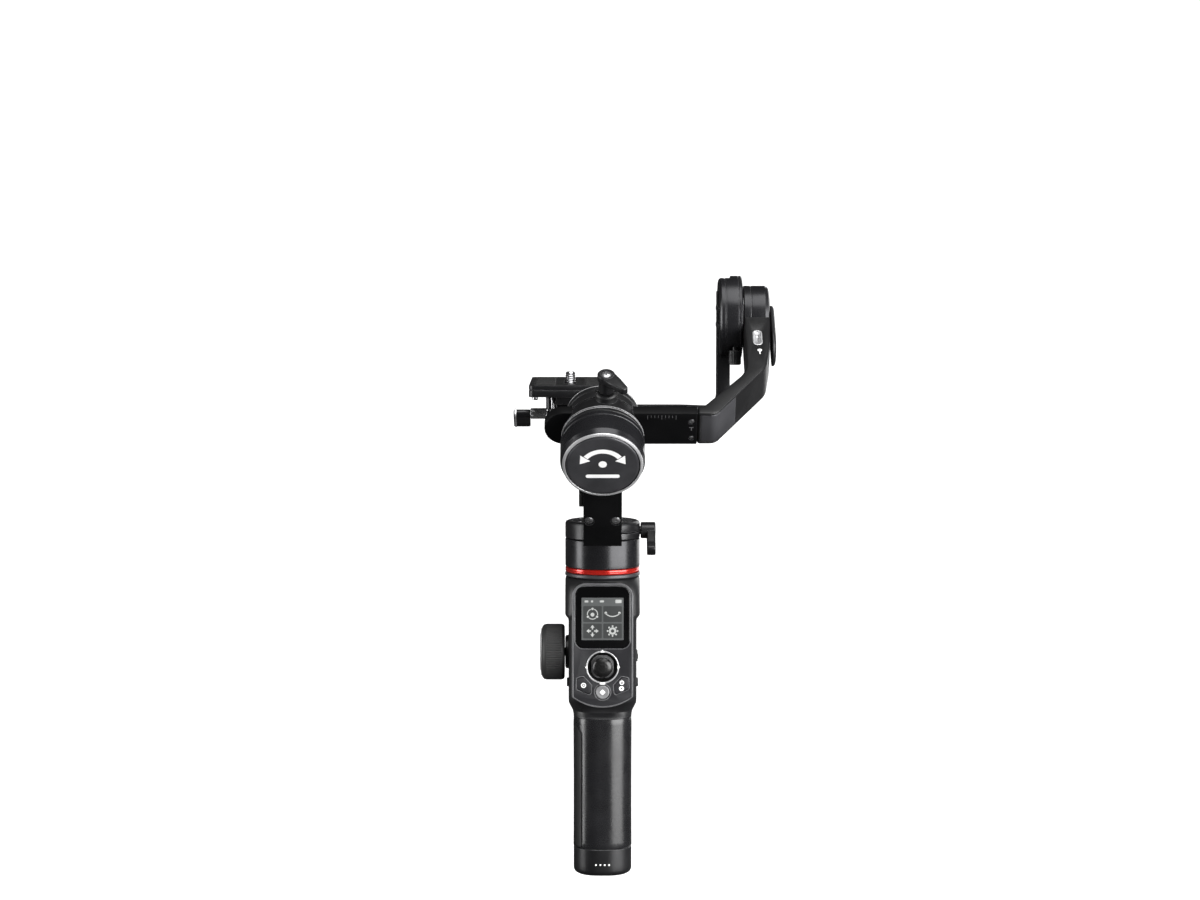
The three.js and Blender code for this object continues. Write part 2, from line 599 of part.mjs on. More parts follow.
function tiltMotor() {
  const housing = [
    [16.5, HOUSING_LEFT], [TILT_OUTER_RADIUS, HOUSING_LEFT], [TILT_OUTER_RADIUS, HOUSING_RIGHT - 0.8],
    [TILT_OUTER_RADIUS - 0.8, HOUSING_RIGHT], [2.6, HOUSING_RIGHT], [2.6, 84.6], [4.4, 84.6],
    [4.4, 96.2], [16.5, 96.2],
    [16.5, HOUSING_LEFT],
  ];
  addRoll('tilt_housing', lathe('X', housing, [0, 0], ROUND), 'metal');
  const pill = roundedRect([-COVER_HALF_WIDTH, COVER_HALF_WIDTH], [-4, 40.4], COVER_HALF_WIDTH - 0.1);
  const lid = prism('YZ', pill, [HOUSING_RIGHT + GAP, COVER_RIGHT], 1);
  addRoll('tilt_cover', lid, 'shell');
  let stator = tube('X', 4.7, 11.6, [86.6, 95.2]);
  for (let i = 0; i < SLOTS; i += 1) {
    const tooth = new THREE.BoxGeometry(16, 1.5, 4).translate(90, 0, 10.6);
    stator = stator.subtract(solid(tooth.rotateX((i * 2 * Math.PI) / SLOTS)));
  }
  addRoll('tilt_stator', stator, 'copper');

  const bell = [
    [0, HOUSING_LEFT], [16.1, HOUSING_LEFT], [16.1, 95.8], [12.4, 95.8], [12.4, 85.9], [4.8, 85.9],
    [4.8, 84.3], [0, 84.3],
  ];
  add('tilt_rotor', lathe('X', bell, [0, AXES_Z]), 'steel');
  const barrel = [
    [0, CLAMP_LEFT], [TILT_INNER_RADIUS - 1.2, CLAMP_LEFT], [TILT_INNER_RADIUS, CLAMP_LEFT + 1.2],
    [TILT_INNER_RADIUS, CLAMP_RIGHT - 0.8], [TILT_INNER_RADIUS - 0.8, CLAMP_RIGHT], [0, CLAMP_RIGHT],
  ];
  const channelHalf = TILT_BAR_HALF_WIDTH + GAP;
  const channel = box([60, ARM_RIGHT + GAP], [-channelHalf, channelHalf], [300, 380]);
  const knobWay = rod('Z', 1.9, [300, 325], [KNOB_X, KNOB_Y], 12)
    .add(rod('Z', 4, [300, 317.3], [KNOB_X, KNOB_Y]));
  const clamp = lathe('X', barrel, [0, AXES_Z], ROUND).subtract(channel).subtract(knobWay);
  add('tilt_clamp', clamp, 'metal');
  const knob = [
    [0, 308.6], [3.1, 308.6], [3.6, 309.2], [3.6, 316.4], [3.1, 317], [1.6, 317], [1.6, 323],
    [0, 323],
  ];
  add('tilt_knob', lathe('Z', knob, [KNOB_X, KNOB_Y], 16), 'metal');
}

// ---- Tilt arm and camera plate ----
const PLATE_LEVER_Y = -15;
const PLATE_LEVER_Z = 279.8;

function tiltArm() {
  const outline = [
    [SHELF_LEFT, ARM_BOTTOM], [ARM_RIGHT - 6, ARM_BOTTOM], [ARM_RIGHT - 2, ARM_BOTTOM + 1.8],
    [ARM_RIGHT, ARM_BOTTOM + 6], [ARM_RIGHT, ARM_TOP], [ARM_LEFT, ARM_TOP], [ARM_LEFT, SHELF_TOP + 4],
    [ARM_LEFT - 4, SHELF_TOP], [SHELF_LEFT, SHELF_TOP],
  ];
  const wide = prism('XZ', outline, [-SHELF_HALF_WIDTH, SHELF_HALF_WIDTH]);
  const plan = box([-40, 54], [-SHELF_HALF_WIDTH, SHELF_HALF_WIDTH], [260, 300])
    .add(box([20, 66], [-12, 12], [260, 300]))
    .add(box([60, 80], [-TILT_BAR_HALF_WIDTH, TILT_BAR_HALF_WIDTH], [260, 360]));
  const arm = wide.intersect(plan)
    .subtract(rod('X', 1.9, [-40, -22], [PLATE_LEVER_Y, PLATE_LEVER_Z], 16));
  add('tilt_arm', arm, 'metal');

  const sides = [PLATE_X - RECEIVER_HALF_WIDTH, PLATE_X + RECEIVER_HALF_WIDTH];
  const block = roundedRect(sides, [-34, 30], 3);
  const receiver = prism('XY', block, [SHELF_TOP + GAP, PLATE_BOTTOM - GAP]);
  const groove = [
    [PLATE_X - 9.5, GROOVE_Z], [PLATE_X + 9.5, GROOVE_Z], [PLATE_X + 7.5, 293], [PLATE_X - 7.5, 293],
  ];
  add('plate_receiver', receiver.subtract(prism('XZ', groove, [-60, 60])), 'metal');

  const place = [PLATE_LEVER_Y, PLATE_LEVER_Z];
  const handle = new THREE.BoxGeometry(9.8, 4.6, 15).translate(0, 0, -7);
  handle.rotateX(THREE.MathUtils.degToRad(62)).translate(-47.6, ...place);
  const lever = rod('X', 1.7, [-44, -24], place, 12)
    .add(rod('X', 2.5, [-42.7, -32.8], place, 12))
    .add(rod('X', 2.7, [-52.5, -42.6], place))
    .add(solid(handle));
  add('plate_lever', lever, 'steel');
}

function cameraPlate() {
  const [left, right] = [PLATE_X - PLATE_HALF_WIDTH, PLATE_X + PLATE_HALF_WIDTH];
  const slab = prism(
    'XY', roundedRect([left, right], [-PLATE_HALF_LENGTH, PLATE_HALF_LENGTH], 3), [PLATE_BOTTOM, SEAT_Z],
  );
  const tail = [
    [PLATE_X - 9, GROOVE_Z + 0.5], [PLATE_X + 9, GROOVE_Z + 0.5], [PLATE_X + 7.6, PLATE_BOTTOM + 0.5],
    [PLATE_X - 7.6, PLATE_BOTTOM + 0.5],
  ];
  const plate = slab.add(prism('XZ', tail, [-PLATE_HALF_LENGTH, PLATE_HALF_LENGTH]))
    .subtract(rod('Z', 3.5, [280, 310], [PLATE_X, 0]))
    .subtract(rod('Z', 6, [280, SEAT_Z - 3.4], [PLATE_X, 0]));
  add('quick_release_plate', plate, 'metal');
  const screw = [
    [0, 291.6], [5.2, 291.6], [5.6, 292.2], [5.6, 294.2], [3.1, 294.2], [3.1, 303], [2.5, 303.7],
    [0, 303.7],
  ];
  add('camera_screw', lathe('Z', screw, [PLATE_X, 0], 16), 'steel');
}

grip();
controlShells();
panel();
sideControls();
panMotor();
panArm();
rollRotor();
crossArm();
tiltMotor();
tiltArm();
cameraPlate();
for (const child of group.children) child.position.z -= BASE_Z;

export default group;
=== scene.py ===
# The looks of a handheld three-axis camera gimbal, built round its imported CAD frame.
# Shapes are written in millimetres and scaled to metres as each mesh is made.
import json
import math
import bmesh
import bpy
from mathutils import Matrix, Vector


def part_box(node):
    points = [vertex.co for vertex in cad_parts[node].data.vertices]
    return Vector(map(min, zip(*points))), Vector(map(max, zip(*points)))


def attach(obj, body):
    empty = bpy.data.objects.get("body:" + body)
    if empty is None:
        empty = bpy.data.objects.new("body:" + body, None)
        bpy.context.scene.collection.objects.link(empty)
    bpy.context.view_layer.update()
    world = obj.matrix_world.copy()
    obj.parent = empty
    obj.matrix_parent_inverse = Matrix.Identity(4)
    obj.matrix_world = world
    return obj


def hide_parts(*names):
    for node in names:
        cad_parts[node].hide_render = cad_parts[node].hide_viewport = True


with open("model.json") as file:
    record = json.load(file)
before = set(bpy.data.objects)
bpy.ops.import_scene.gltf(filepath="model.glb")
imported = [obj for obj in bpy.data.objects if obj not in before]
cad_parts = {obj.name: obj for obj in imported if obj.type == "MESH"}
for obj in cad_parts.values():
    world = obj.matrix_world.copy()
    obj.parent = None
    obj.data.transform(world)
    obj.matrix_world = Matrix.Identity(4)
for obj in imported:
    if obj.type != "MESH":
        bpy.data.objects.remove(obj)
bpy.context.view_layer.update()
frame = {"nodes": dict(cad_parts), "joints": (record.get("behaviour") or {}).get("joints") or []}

MM = 0.001
TURN = 2 * math.pi
FACETS = 96  # round the larger turned parts
PAN_FACETS = 128
MOTOR_FACETS = 144  # round the roll and tilt motors
SHARP = math.radians(32)


# ---- Where things are, from the frame ----
def span(node, axis):
    """The two ends of a CAD node along X, Y or Z, in millimetres."""
    low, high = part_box(node)
    k = "XYZ".index(axis)
    return low[k] / MM, high[k] / MM


def joint(name):
    return next(j for j in frame["joints"] if j["name"] == name)


AXES_Z = joint("tilt")["pos_m"][2] / MM  # where the pan, roll and tilt axes cross
ROLL_AXIS = Vector(joint("roll")["axis"]).normalized()  # towards the operator and down
UP_POST = ROLL_AXIS.cross(Vector((1, 0, 0))).normalized()
# Roll space: x across, y up the slanted post, z along the roll axis from the crossing of the axes.
ROLL_SPACE = Matrix((
    (1, UP_POST.x, ROLL_AXIS.x, 0),
    (0, UP_POST.y, ROLL_AXIS.y, 0),
    (0, UP_POST.z, ROLL_AXIS.z, AXES_Z),
    (0, 0, 0, 1),
))


# ---- Outlines ----
def arc(centre, radius, start, end, steps=12):
    """Points on an arc, angles in degrees."""
    cx, cy = centre
    angles = [math.radians(start + (end - start) * i / steps) for i in range(steps + 1)]
    return [(cx + radius * math.cos(a), cy + radius * math.sin(a)) for a in angles]


def rounded(points, radius, steps=5, closed=True):
    """The polygon with its corners rounded. radius is one number or one for each point."""
    n = len(points)
    radii = radius if isinstance(radius, (list, tuple)) else [radius] * n
    out = []
    for i, (point, r) in enumerate(zip(points, radii)):
        if r <= 0 or (not closed and i in (0, n - 1)):
            out.append(tuple(point))
            continue
        p, a, b = Vector(point), Vector(points[i - 1]), Vector(points[(i + 1) % n])
        u, v = (a - p), (b - p)
        half = u.angle(v) / 2
        reach = min(r / max(math.tan(half), 1e-6), 0.49 * u.length, 0.49 * v.length)
        r = reach * math.tan(half)
        u, v = u.normalized(), v.normalized()
        centre = p + (u + v).normalized() * (r / max(math.sin(half), 1e-6))
        first, last = p + u * reach - centre, p + v * reach - centre
        turn = math.atan2(first.x * last.y - first.y * last.x, first.dot(last))
        for k in range(steps + 1):
            q = Matrix.Rotation(turn * k / steps, 2) @ first
            out.append((centre.x + q.x, centre.y + q.y))
    return out


def on_circle(radius, angles, centre=(0, 0)):
    """Points at the given angles, in degrees."""
    turns = [math.radians(a) for a in angles]
    return [(centre[0] + radius * math.cos(a), centre[1] + radius * math.sin(a)) for a in turns]


def near(radius, along, *offsets):
    """Points of a profile, each by its offset from a corner at a radius and a distance."""
    return [(radius + r, along + d) for r, d in offsets]


def rect(x, y, radius=0.0, steps=6):
    (x0, x1), (y0, y1) = x, y
    corners = [(x0, y0), (x1, y0), (x1, y1), (x0, y1)]
    return rounded(corners, radius, steps) if radius else corners


def stretched_circle(half_x, half_y, corner, count=72):
    """A rounded rectangle sampled evenly by angle, so that rings of it can be lofted together."""
    points = []
    for i in range(count):
        a = TURN * i / count
        c, s = math.cos(a), math.sin(a)
        corner = min(corner, half_x, half_y)
        inner_x, inner_y = half_x - corner, half_y - corner
        low, high = 0.0, 2 * (half_x + half_y)
        for _ in range(40):
            mid = (low + high) / 2
            dx, dy = max(abs(c * mid) - inner_x, 0), max(abs(s * mid) - inner_y, 0)
            inside = math.hypot(dx, dy) <= corner if corner > 0 else (dx <= 0 and dy <= 0)
            low, high = (mid, high) if inside else (low, mid)
        points.append((c * low, s * low))
    return points


# ---- Meshes ----
def new_piece(name, verts, faces, space=None):
    """A mesh object from points in millimetres, optionally in another space such as ROLL_SPACE."""
    if space is not None:
        verts = [space @ Vector(v) for v in verts]
    mesh = bpy.data.meshes.new(name)
    mesh.from_pydata([[c * MM for c in v] for v in verts], [], faces)
    bm = bmesh.new()
    bm.from_mesh(mesh)
    bmesh.ops.remove_doubles(bm, verts=bm.verts, dist=1e-7)
    bmesh.ops.dissolve_degenerate(bm, edges=bm.edges, dist=1e-8)
    bmesh.ops.recalc_face_normals(bm, faces=bm.faces)
    bm.to_mesh(mesh)
    bm.free()
    piece = bpy.data.objects.new(name, mesh)
    bpy.context.scene.collection.objects.link(piece)
    return piece


AXES = {"X": (1, 2, 0), "Y": (0, 2, 1), "Z": (0, 1, 2)}


def place(axis, u, v, d):
    """A point from its two flat coordinates and its distance along an axis."""
    point = [0, 0, 0]
    for slot, value in zip(AXES[axis], (u, v, d)):
        point[slot] = value
    return tuple(point)


def prism(name, outline, axis, ends, space=None):
    """An outline pushed along an axis. For X it lies in (y, z), for Y in (x, z) and for Z in (x, y)."""
    n = len(outline)
    verts = [place(axis, u, v, d) for d in ends for u, v in outline]
    faces = [tuple(range(n)), tuple(range(2 * n - 1, n - 1, -1))]
    faces += [(i, (i + 1) % n, n + (i + 1) % n, n + i) for i in range(n)]
    return new_piece(name, verts, faces, space)


def lathe(name, profile, axis="Z", centre=(0, 0), space=None, facets=FACETS, fillet=0.0):
    """Turns a profile of (radius, distance along the axis), which is closed or meets the axis."""
    closed = profile[0] == profile[-1]
    points = profile[:-1] if closed else profile
    if fillet:
        points = rounded(points, fillet, 4, closed)
    rows = []
    verts = []
    for r, d in points:
        if r < 1e-6:
            rows.append([len(verts)] * facets)
            verts.append(place(axis, centre[0], centre[1], d))
            continue
        rows.append(list(range(len(verts), len(verts) + facets)))
        for i in range(facets):
            a = TURN * i / facets
            verts.append(place(axis, centre[0] + r * math.cos(a), centre[1] + r * math.sin(a), d))
    faces = []
    pairs = list(zip(rows, rows[1:])) + ([(rows[-1], rows[0])] if closed else [])
    for low, high in pairs:
        for i in range(facets):
            j = (i + 1) % facets
            corners = [low[i], low[j], high[j], high[i]]
            faces.append(tuple(dict.fromkeys(corners)))
    faces = [f for f in faces if len(f) > 2]
    return new_piece(name, verts, faces, space)


def rod(name, radius, axis, ends, centre=(0, 0), space=None, facets=48, fillet=0.0):
    low, high = ends
    return lathe(
        name, [(0, low), (radius, low), (radius, high), (0, high)], axis, centre, space, facets,
        fillet
    )


def tube(name, inner, outer, axis, ends, centre=(0, 0), space=None, facets=FACETS, fillet=0.0):
    low, high = ends
    profile = [(inner, low), (outer, low), (outer, high), (inner, high), (inner, low)]
    return lathe(name, profile, axis, centre, space, facets, fillet)


def loft(name, rings, space=None, cap=True):
    """Joins rings of the same number of (x, y, z) points into a closed skin."""
    n = len(rings[0])
    verts = [p for ring in rings for p in ring]
    faces = []
    for k in range(len(rings) - 1):
        for i in range(n):
            j = (i + 1) % n
            faces.append((k * n + i, k * n + j, (k + 1) * n + j, (k + 1) * n + i))
    if cap:
        faces.append(tuple(range(n)))
        last = (len(rings) - 1) * n
        faces.append(tuple(range(last, last + n)))
    return new_piece(name, verts, faces, space)


def combine(piece, tool, operation):
    """Joins, cuts or intersects a piece with a tool, and removes the tool."""
    modifier = piece.modifiers.new(operation, "BOOLEAN")
    modifier.operation = operation
    modifier.object = tool
    modifier.solver = "EXACT"
    bake(piece)
    mend(piece)
    mesh = tool.data
    bpy.data.objects.remove(tool)
    bpy.data.meshes.remove(mesh)
    return piece


def mend(piece):
    """Welds points that nearly touch and closes any pinhole left between faces."""
    bm = bmesh.new()
    bm.from_mesh(piece.data)
    bmesh.ops.remove_doubles(bm, verts=bm.verts, dist=2e-7)
    bmesh.ops.dissolve_degenerate(bm, edges=bm.edges, dist=1e-7)
    gaps = [e for e in bm.edges if e.is_boundary]
    if gaps:
        bmesh.ops.holes_fill(bm, edges=gaps, sides=6)
    bm.to_mesh(piece.data)
    bm.free()


def cut(piece, *tools):
    for tool in tools:
        combine(piece, tool, "DIFFERENCE")
    return piece


def fuse(piece, *tools):
    for tool in tools:
        combine(piece, tool, "UNION")
    return piece


def bake(piece):
    """Applies every modifier on a piece."""
    graph = bpy.context.evaluated_depsgraph_get()
    graph.update()
    mesh = bpy.data.meshes.new_from_object(piece.evaluated_get(graph))
    old = piece.data
    piece.modifiers.clear()
    piece.data = mesh
    bpy.data.meshes.remove(old)
    mesh.name = piece.name
    return piece


def soften(piece, width, segments=3, angle=30):
    """Rounds a piece's edges."""
    modifier = piece.modifiers.new("soften", "BEVEL")
    modifier.width = width * MM
    modifier.segments = segments
    modifier.limit_method = "ANGLE"
    modifier.angle_limit = math.radians(angle)
    modifier.use_clamp_overlap = True
    modifier.miter_outer = "MITER_ARC"
    return bake(piece)


def join(name, pieces):
    """Several separate shells as one piece."""
    bm = bmesh.new()
    for piece in pieces:
        bm.from_mesh(piece.data)
    mesh = bpy.data.meshes.new(name)
    bm.to_mesh(mesh)
    bm.free()
    for piece in pieces:
        old = piece.data
        bpy.data.objects.remove(piece)
        bpy.data.meshes.remove(old)
    joined = bpy.data.objects.new(name, mesh)
    bpy.context.scene.collection.objects.link(joined)
    return joined


def fit_screws(name, body, slot_name, look, spots, radius, axis, face, out, space=None):
    """A set of equal cross screws as one piece."""
    heads = [cross_screw("head", radius, axis, spot, face, out, space) for spot in spots]
    return dress(join(name, heads), body, slot_name, look)


def smooth(piece):
    piece.data.shade_smooth()
    piece.data.set_sharp_from_angle(angle=SHARP)


def dress(piece, body, slot_name, look, *nodes):
    """Finishes a piece: shading, material, the body it rides on and the CAD nodes it stands for."""
    smooth(piece)
    piece.data.materials.clear()
    piece.data.materials.append(look)
    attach(piece, body)
    if nodes:
        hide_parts(*nodes)
    return piece


# ---- Materials ----
def link(tree, source, target):
    tree.links.new(source, target)


def noise(tree, coords, scale, detail=4.0, stretch=None):
    """A noise value of a given size in cells per metre, optionally stretched along the axes."""
    if stretch:
        mapping = tree.nodes.new("ShaderNodeMapping")
        mapping.inputs["Scale"].default_value = stretch
        link(tree, coords, mapping.inputs["Vector"])
        coords = mapping.outputs["Vector"]
    node = tree.nodes.new("ShaderNodeTexNoise")
    node.inputs["Scale"].default_value = scale
    node.inputs["Detail"].default_value = detail
    link(tree, coords, node.inputs["Vector"])
    return node.outputs["Fac"]


def ranged(tree, value, low, high, from_low=0.3, from_high=0.7):
    node = tree.nodes.new("ShaderNodeMapRange")
    for name, number in zip(
        ("From Min", "From Max", "To Min", "To Max"), (from_low, from_high, low, high)
    ):
        node.inputs[name].default_value = number
    link(tree, value, node.inputs["Value"])
    return node.outputs["Result"]


def tint(tree, factor, low, high):
    """A colour that runs from one to the other by factor."""
    node = tree.nodes.new("ShaderNodeMix")
    node.data_type = "RGBA"
    node.inputs["A"].default_value = (*low, 1)
    node.inputs["B"].default_value = (*high, 1)
    link(tree, factor, node.inputs["Factor"])
    return node.outputs["Result"]


def overlay(tree, factor, base, color):
    node = tree.nodes.new("ShaderNodeMix")
    node.data_type = "RGBA"
    link(tree, base, node.inputs["A"])
    node.inputs["B"].default_value = (*color, 1)
    link(tree, factor, node.inputs["Factor"])
    return node.outputs["Result"]


def edge_mask(tree, width, low=0.02, high=0.25):
    """Near 1 on edges, where wear and a painted highlight go, and 0 on flats."""
    bevel = tree.nodes.new("ShaderNodeBevel")
    bevel.samples = 4
    bevel.inputs["Radius"].default_value = width * MM
    geometry = tree.nodes.new("ShaderNodeNewGeometry")
    dot = tree.nodes.new("ShaderNodeVectorMath")
    dot.operation = "DOT_PRODUCT"
    link(tree, bevel.outputs["Normal"], dot.inputs[0])
    link(tree, geometry.outputs["Normal"], dot.inputs[1])
    return ranged(tree, dot.outputs["Value"], 1.0, 0.0, 1 - high, 1 - low)


def material(
    name, color, roughness, metallic=0.0, grain=900, bump=0.15, depth=0.05, edge_wear_and_sheen=0.35,
    edge_wear_and_sheen_color=None, brushed=None, coat=0.0, variation=0.25, cells=0.0, specular=0.5
):
    """A procedural surface: mottled colour, uneven gloss, fine relief and lighter edges, part wear and
    part painted highlight.

    grain is the relief's cells per metre, depth its height in millimetres and brushed a stretch
    for directional scratches. cells, if given, is the size of a pebbled pattern.
    """
    look = bpy.data.materials.new(name)
    look.use_nodes = True
    look.diffuse_color = (*color, 1)
    tree = look.node_tree
    shader = tree.nodes["Principled BSDF"]
    shader.inputs["Metallic"].default_value = metallic
    shader.inputs["Specular IOR Level"].default_value = specular
    if coat:
        shader.inputs["Coat Weight"].default_value = coat
        shader.inputs["Coat Roughness"].default_value = 0.06
    coords = tree.nodes.new("ShaderNodeTexCoord").outputs["Object"]
    mottle = noise(tree, coords, 60, 5)
    dark = [c * (1 - variation) for c in color]
    light = [min(c * (1 + variation), 1) for c in color]
    base = tint(tree, ranged(tree, mottle, 0, 1), dark, light)
    # Lighter edges: partly wear, partly a painted highlight of edges catching the light.
    if edge_wear_and_sheen:
        lit_worn_edge = tree.nodes.new("ShaderNodeMath")
        lit_worn_edge.operation = "MULTIPLY"
        link(tree, edge_mask(tree, 0.5), lit_worn_edge.inputs[0])
        link(tree, ranged(tree, noise(tree, coords, 350, 3), edge_wear_and_sheen * 0.4, edge_wear_and_sheen), lit_worn_edge.inputs[1])
        base = overlay(
            tree, lit_worn_edge.outputs["Value"], base, edge_wear_and_sheen_color or [min(c * 5 + 0.05, 1) for c in color]
        )
    link(tree, base, shader.inputs["Base Color"])
    fine = noise(tree, coords, grain, 2, brushed)
    smudge = noise(tree, coords, 45, 4)
    uneven = tree.nodes.new("ShaderNodeMath")
    uneven.operation = "MULTIPLY_ADD"
    link(tree, ranged(tree, smudge, -0.06, 0.08), uneven.inputs[0])
    uneven.inputs[1].default_value = 1.0
    link(tree, ranged(tree, fine, roughness - 0.05, roughness + 0.05), uneven.inputs[2])
    link(tree, uneven.outputs["Value"], shader.inputs["Roughness"])
    relief = tree.nodes.new("ShaderNodeBump")
    relief.inputs["Strength"].default_value = bump
    relief.inputs["Distance"].default_value = depth * MM
    height = fine
    if cells:
        pebble = tree.nodes.new("ShaderNodeTexVoronoi")
        pebble.inputs["Scale"].default_value = cells
        link(tree, coords, pebble.inputs["Vector"])
        height = pebble.outputs["Distance"]
    link(tree, height, relief.inputs["Height"])
    link(tree, relief.outputs["Normal"], shader.inputs["Normal"])
    return look


SHELL = material(
    "moulded_shell", (0.009, 0.009, 0.01), 0.42, grain=2600, bump=0.3, depth=0.04, edge_wear_and_sheen=0.4,
    specular=0.4
)
GRIP = material(
    "satin_grip", (0.008, 0.008, 0.009), 0.27, grain=3000, bump=0.15, depth=0.03, edge_wear_and_sheen=0.3,
    specular=0.55
)
PAD = material(
    "leather_pad", (0.005, 0.005, 0.0055), 0.5, cells=900, bump=0.5, depth=0.12, edge_wear_and_sheen=0.15,
    specular=0.35
)
PANEL = material(
    "grey_panel", (0.016, 0.016, 0.018), 0.46, grain=2800, bump=0.3, depth=0.03, edge_wear_and_sheen=0.3,
    specular=0.35
)
RIM = material(
    "panel_rim", (0.13, 0.13, 0.135), 0.35, metallic=0.4, grain=2000, bump=0.15, edge_wear_and_sheen=0.3
)
METAL = material(
    "black_anodised", (0.010, 0.010, 0.011), 0.34, metallic=0.3, grain=3200, bump=0.2, depth=0.02,
    edge_wear_and_sheen=0.8, edge_wear_and_sheen_color=(0.3, 0.3, 0.31)
)
TURNED = material(
    "turned_black", (0.016, 0.016, 0.018), 0.27, metallic=0.45, grain=3400, bump=0.06, depth=0.01,
    edge_wear_and_sheen=0.7, edge_wear_and_sheen_color=(0.32, 0.32, 0.33), variation=0.12
)
CAST = material(
    "cast_black", (0.007, 0.007, 0.0075), 0.42, metallic=0.1, grain=3800, bump=0.5, depth=0.04,
    edge_wear_and_sheen=0.7, edge_wear_and_sheen_color=(0.26, 0.26, 0.27), specular=0.4
)
COVER = material(
    "brushed_cover", (0.06, 0.06, 0.065), 0.4, metallic=0.5, grain=2600, bump=0.3, depth=0.02,
    brushed=(0.08, 3.0, 1.0), edge_wear_and_sheen=0.3
)
BRIGHT = material(
    "bright_edge", (0.6, 0.6, 0.61), 0.32, metallic=0.6, grain=2400, bump=0.15, edge_wear_and_sheen=0.3
)
STEEL = material(
    "steel", (0.5, 0.5, 0.51), 0.3, metallic=1.0, grain=2600, bump=0.2, depth=0.02, edge_wear_and_sheen=0.2
)
SATIN = material(
    "satin_silver", (0.2, 0.2, 0.205), 0.5, metallic=0.3, grain=2600, bump=0.1, edge_wear_and_sheen=0.2
)
BRASS = material("brass", (0.6, 0.42, 0.16), 0.35, metallic=1.0, grain=2600, bump=0.2, edge_wear_and_sheen=0.2)
RUBBER = material(
    "black_rubber", (0.011, 0.011, 0.011), 0.6, grain=3400, bump=0.5, depth=0.05, edge_wear_and_sheen=0.1
)
RED = material(
    "red_ring", (0.55, 0.018, 0.012), 0.22, metallic=0.55, grain=2600, bump=0.15, coat=0.6,
    edge_wear_and_sheen=0.35, edge_wear_and_sheen_color=(0.85, 0.2, 0.12), variation=0.12
)
# Near black and nearly without gloss: painted shade for the slanted post and the cross bar, which face
# down out of the light.
POST_SHADE = material(
    "post_painted_shade", (0.003, 0.003, 0.0033), 0.5, grain=3800, bump=0.4, depth=0.04, edge_wear_and_sheen=0.6,
    edge_wear_and_sheen_color=(0.2, 0.2, 0.21), specular=0.1
)
TREAD = material(
    "wheel_tread", (0.022, 0.022, 0.022), 0.5, grain=3400, bump=0.4, depth=0.05, edge_wear_and_sheen=0.2
)
GLASS = material("black_glass", (0.0012, 0.0012, 0.0014), 0.06, grain=900, bump=0.02, edge_wear_and_sheen=0.1)
GLOSS = material("gloss_black", (0.004, 0.004, 0.004), 0.3, grain=2600, bump=0.1, edge_wear_and_sheen=0.4)
DISPLAY = material(
    "display", (0.08, 0.084, 0.084), 0.35, grain=3000, bump=0.1, edge_wear_and_sheen=0.0, variation=0.1
)
TILE = material(
    "display_tile", (0.036, 0.038, 0.038), 0.35, grain=3000, bump=0.1, edge_wear_and_sheen=0.0, variation=0.1
)
ICON = material(
    "display_icon", (0.4, 0.41, 0.4), 0.4, grain=3000, bump=0.1, edge_wear_and_sheen=0.0, variation=0.08
)
WHITE = material(
    "white_print", (0.92, 0.92, 0.91), 0.45, grain=3200, bump=0.2, edge_wear_and_sheen=0.0, variation=0.06
)
COPPER = material(
    "copper_winding", (0.5, 0.2, 0.07), 0.35, metallic=0.9, grain=2200, bump=0.5, brushed=(1, 1, 8)
)
BOARD = material("circuit_board", (0.012, 0.07, 0.035), 0.4, grain=1800, bump=0.3)
CELL = material("battery_wrap", (0.03, 0.13, 0.2), 0.35, grain=1500, bump=0.2)


# ---- Grip ----
GRIP_HALF = span("base_cap", "X")[1]
GRIP_DEPTH = span("base_cap", "Y")[1]
BAND_TOP = span("left_grip_pad", "Z")[0]
GRIP_TOP = span("control_rear_shell", "Z")[0]
GRIP_CORNER = 14.5
RING_POINTS = 96
# The pads' front edges in quarter turns from the side towards the operator: body, upper tip
PAD_EDGE = {"left": (0.6, 0.4), "right": (0.36, 0.2)}


def grip_ring(z, inset=0.0):
    """The grip's outline at a height, with a slight waist."""
    t = (z - BAND_TOP) / (GRIP_TOP - BAND_TOP)
    waist = 0.15 * math.sin(math.pi * min(max(t, 0), 1))
    half, depth = GRIP_HALF - waist - inset, GRIP_DEPTH - 0.6 * waist - inset
    return [(x, y, z) for x, y in stretched_circle(half, depth, GRIP_CORNER - inset, RING_POINTS)]


def skin_patch(name, first, last, heights, inset, thickness):
    """A patch of the grip's skin. first and last give its edges by height, in turns from +X."""
    columns = 40
    outer, inner = [], []
    for z in heights:
        for rows, depth in ((outer, inset), (inner, inset + thickness)):
            ring = grip_ring(z, depth)
            row = []
            for k in range(columns + 1):
                s = (first(z) + (last(z) - first(z)) * k / columns) % 1 * RING_POINTS
                i = int(s)
                a, b = Vector(ring[i % RING_POINTS]), Vector(ring[(i + 1) % RING_POINTS])
                row.append(a.lerp(b, s - i))
            rows.append(row)
    rings = [o + i[::-1] for o, i in zip(outer, inner)]
    return loft(name, rings)


def heights(low, high, steps):
    return [low + (high - low) * k / steps for k in range(steps + 1)]


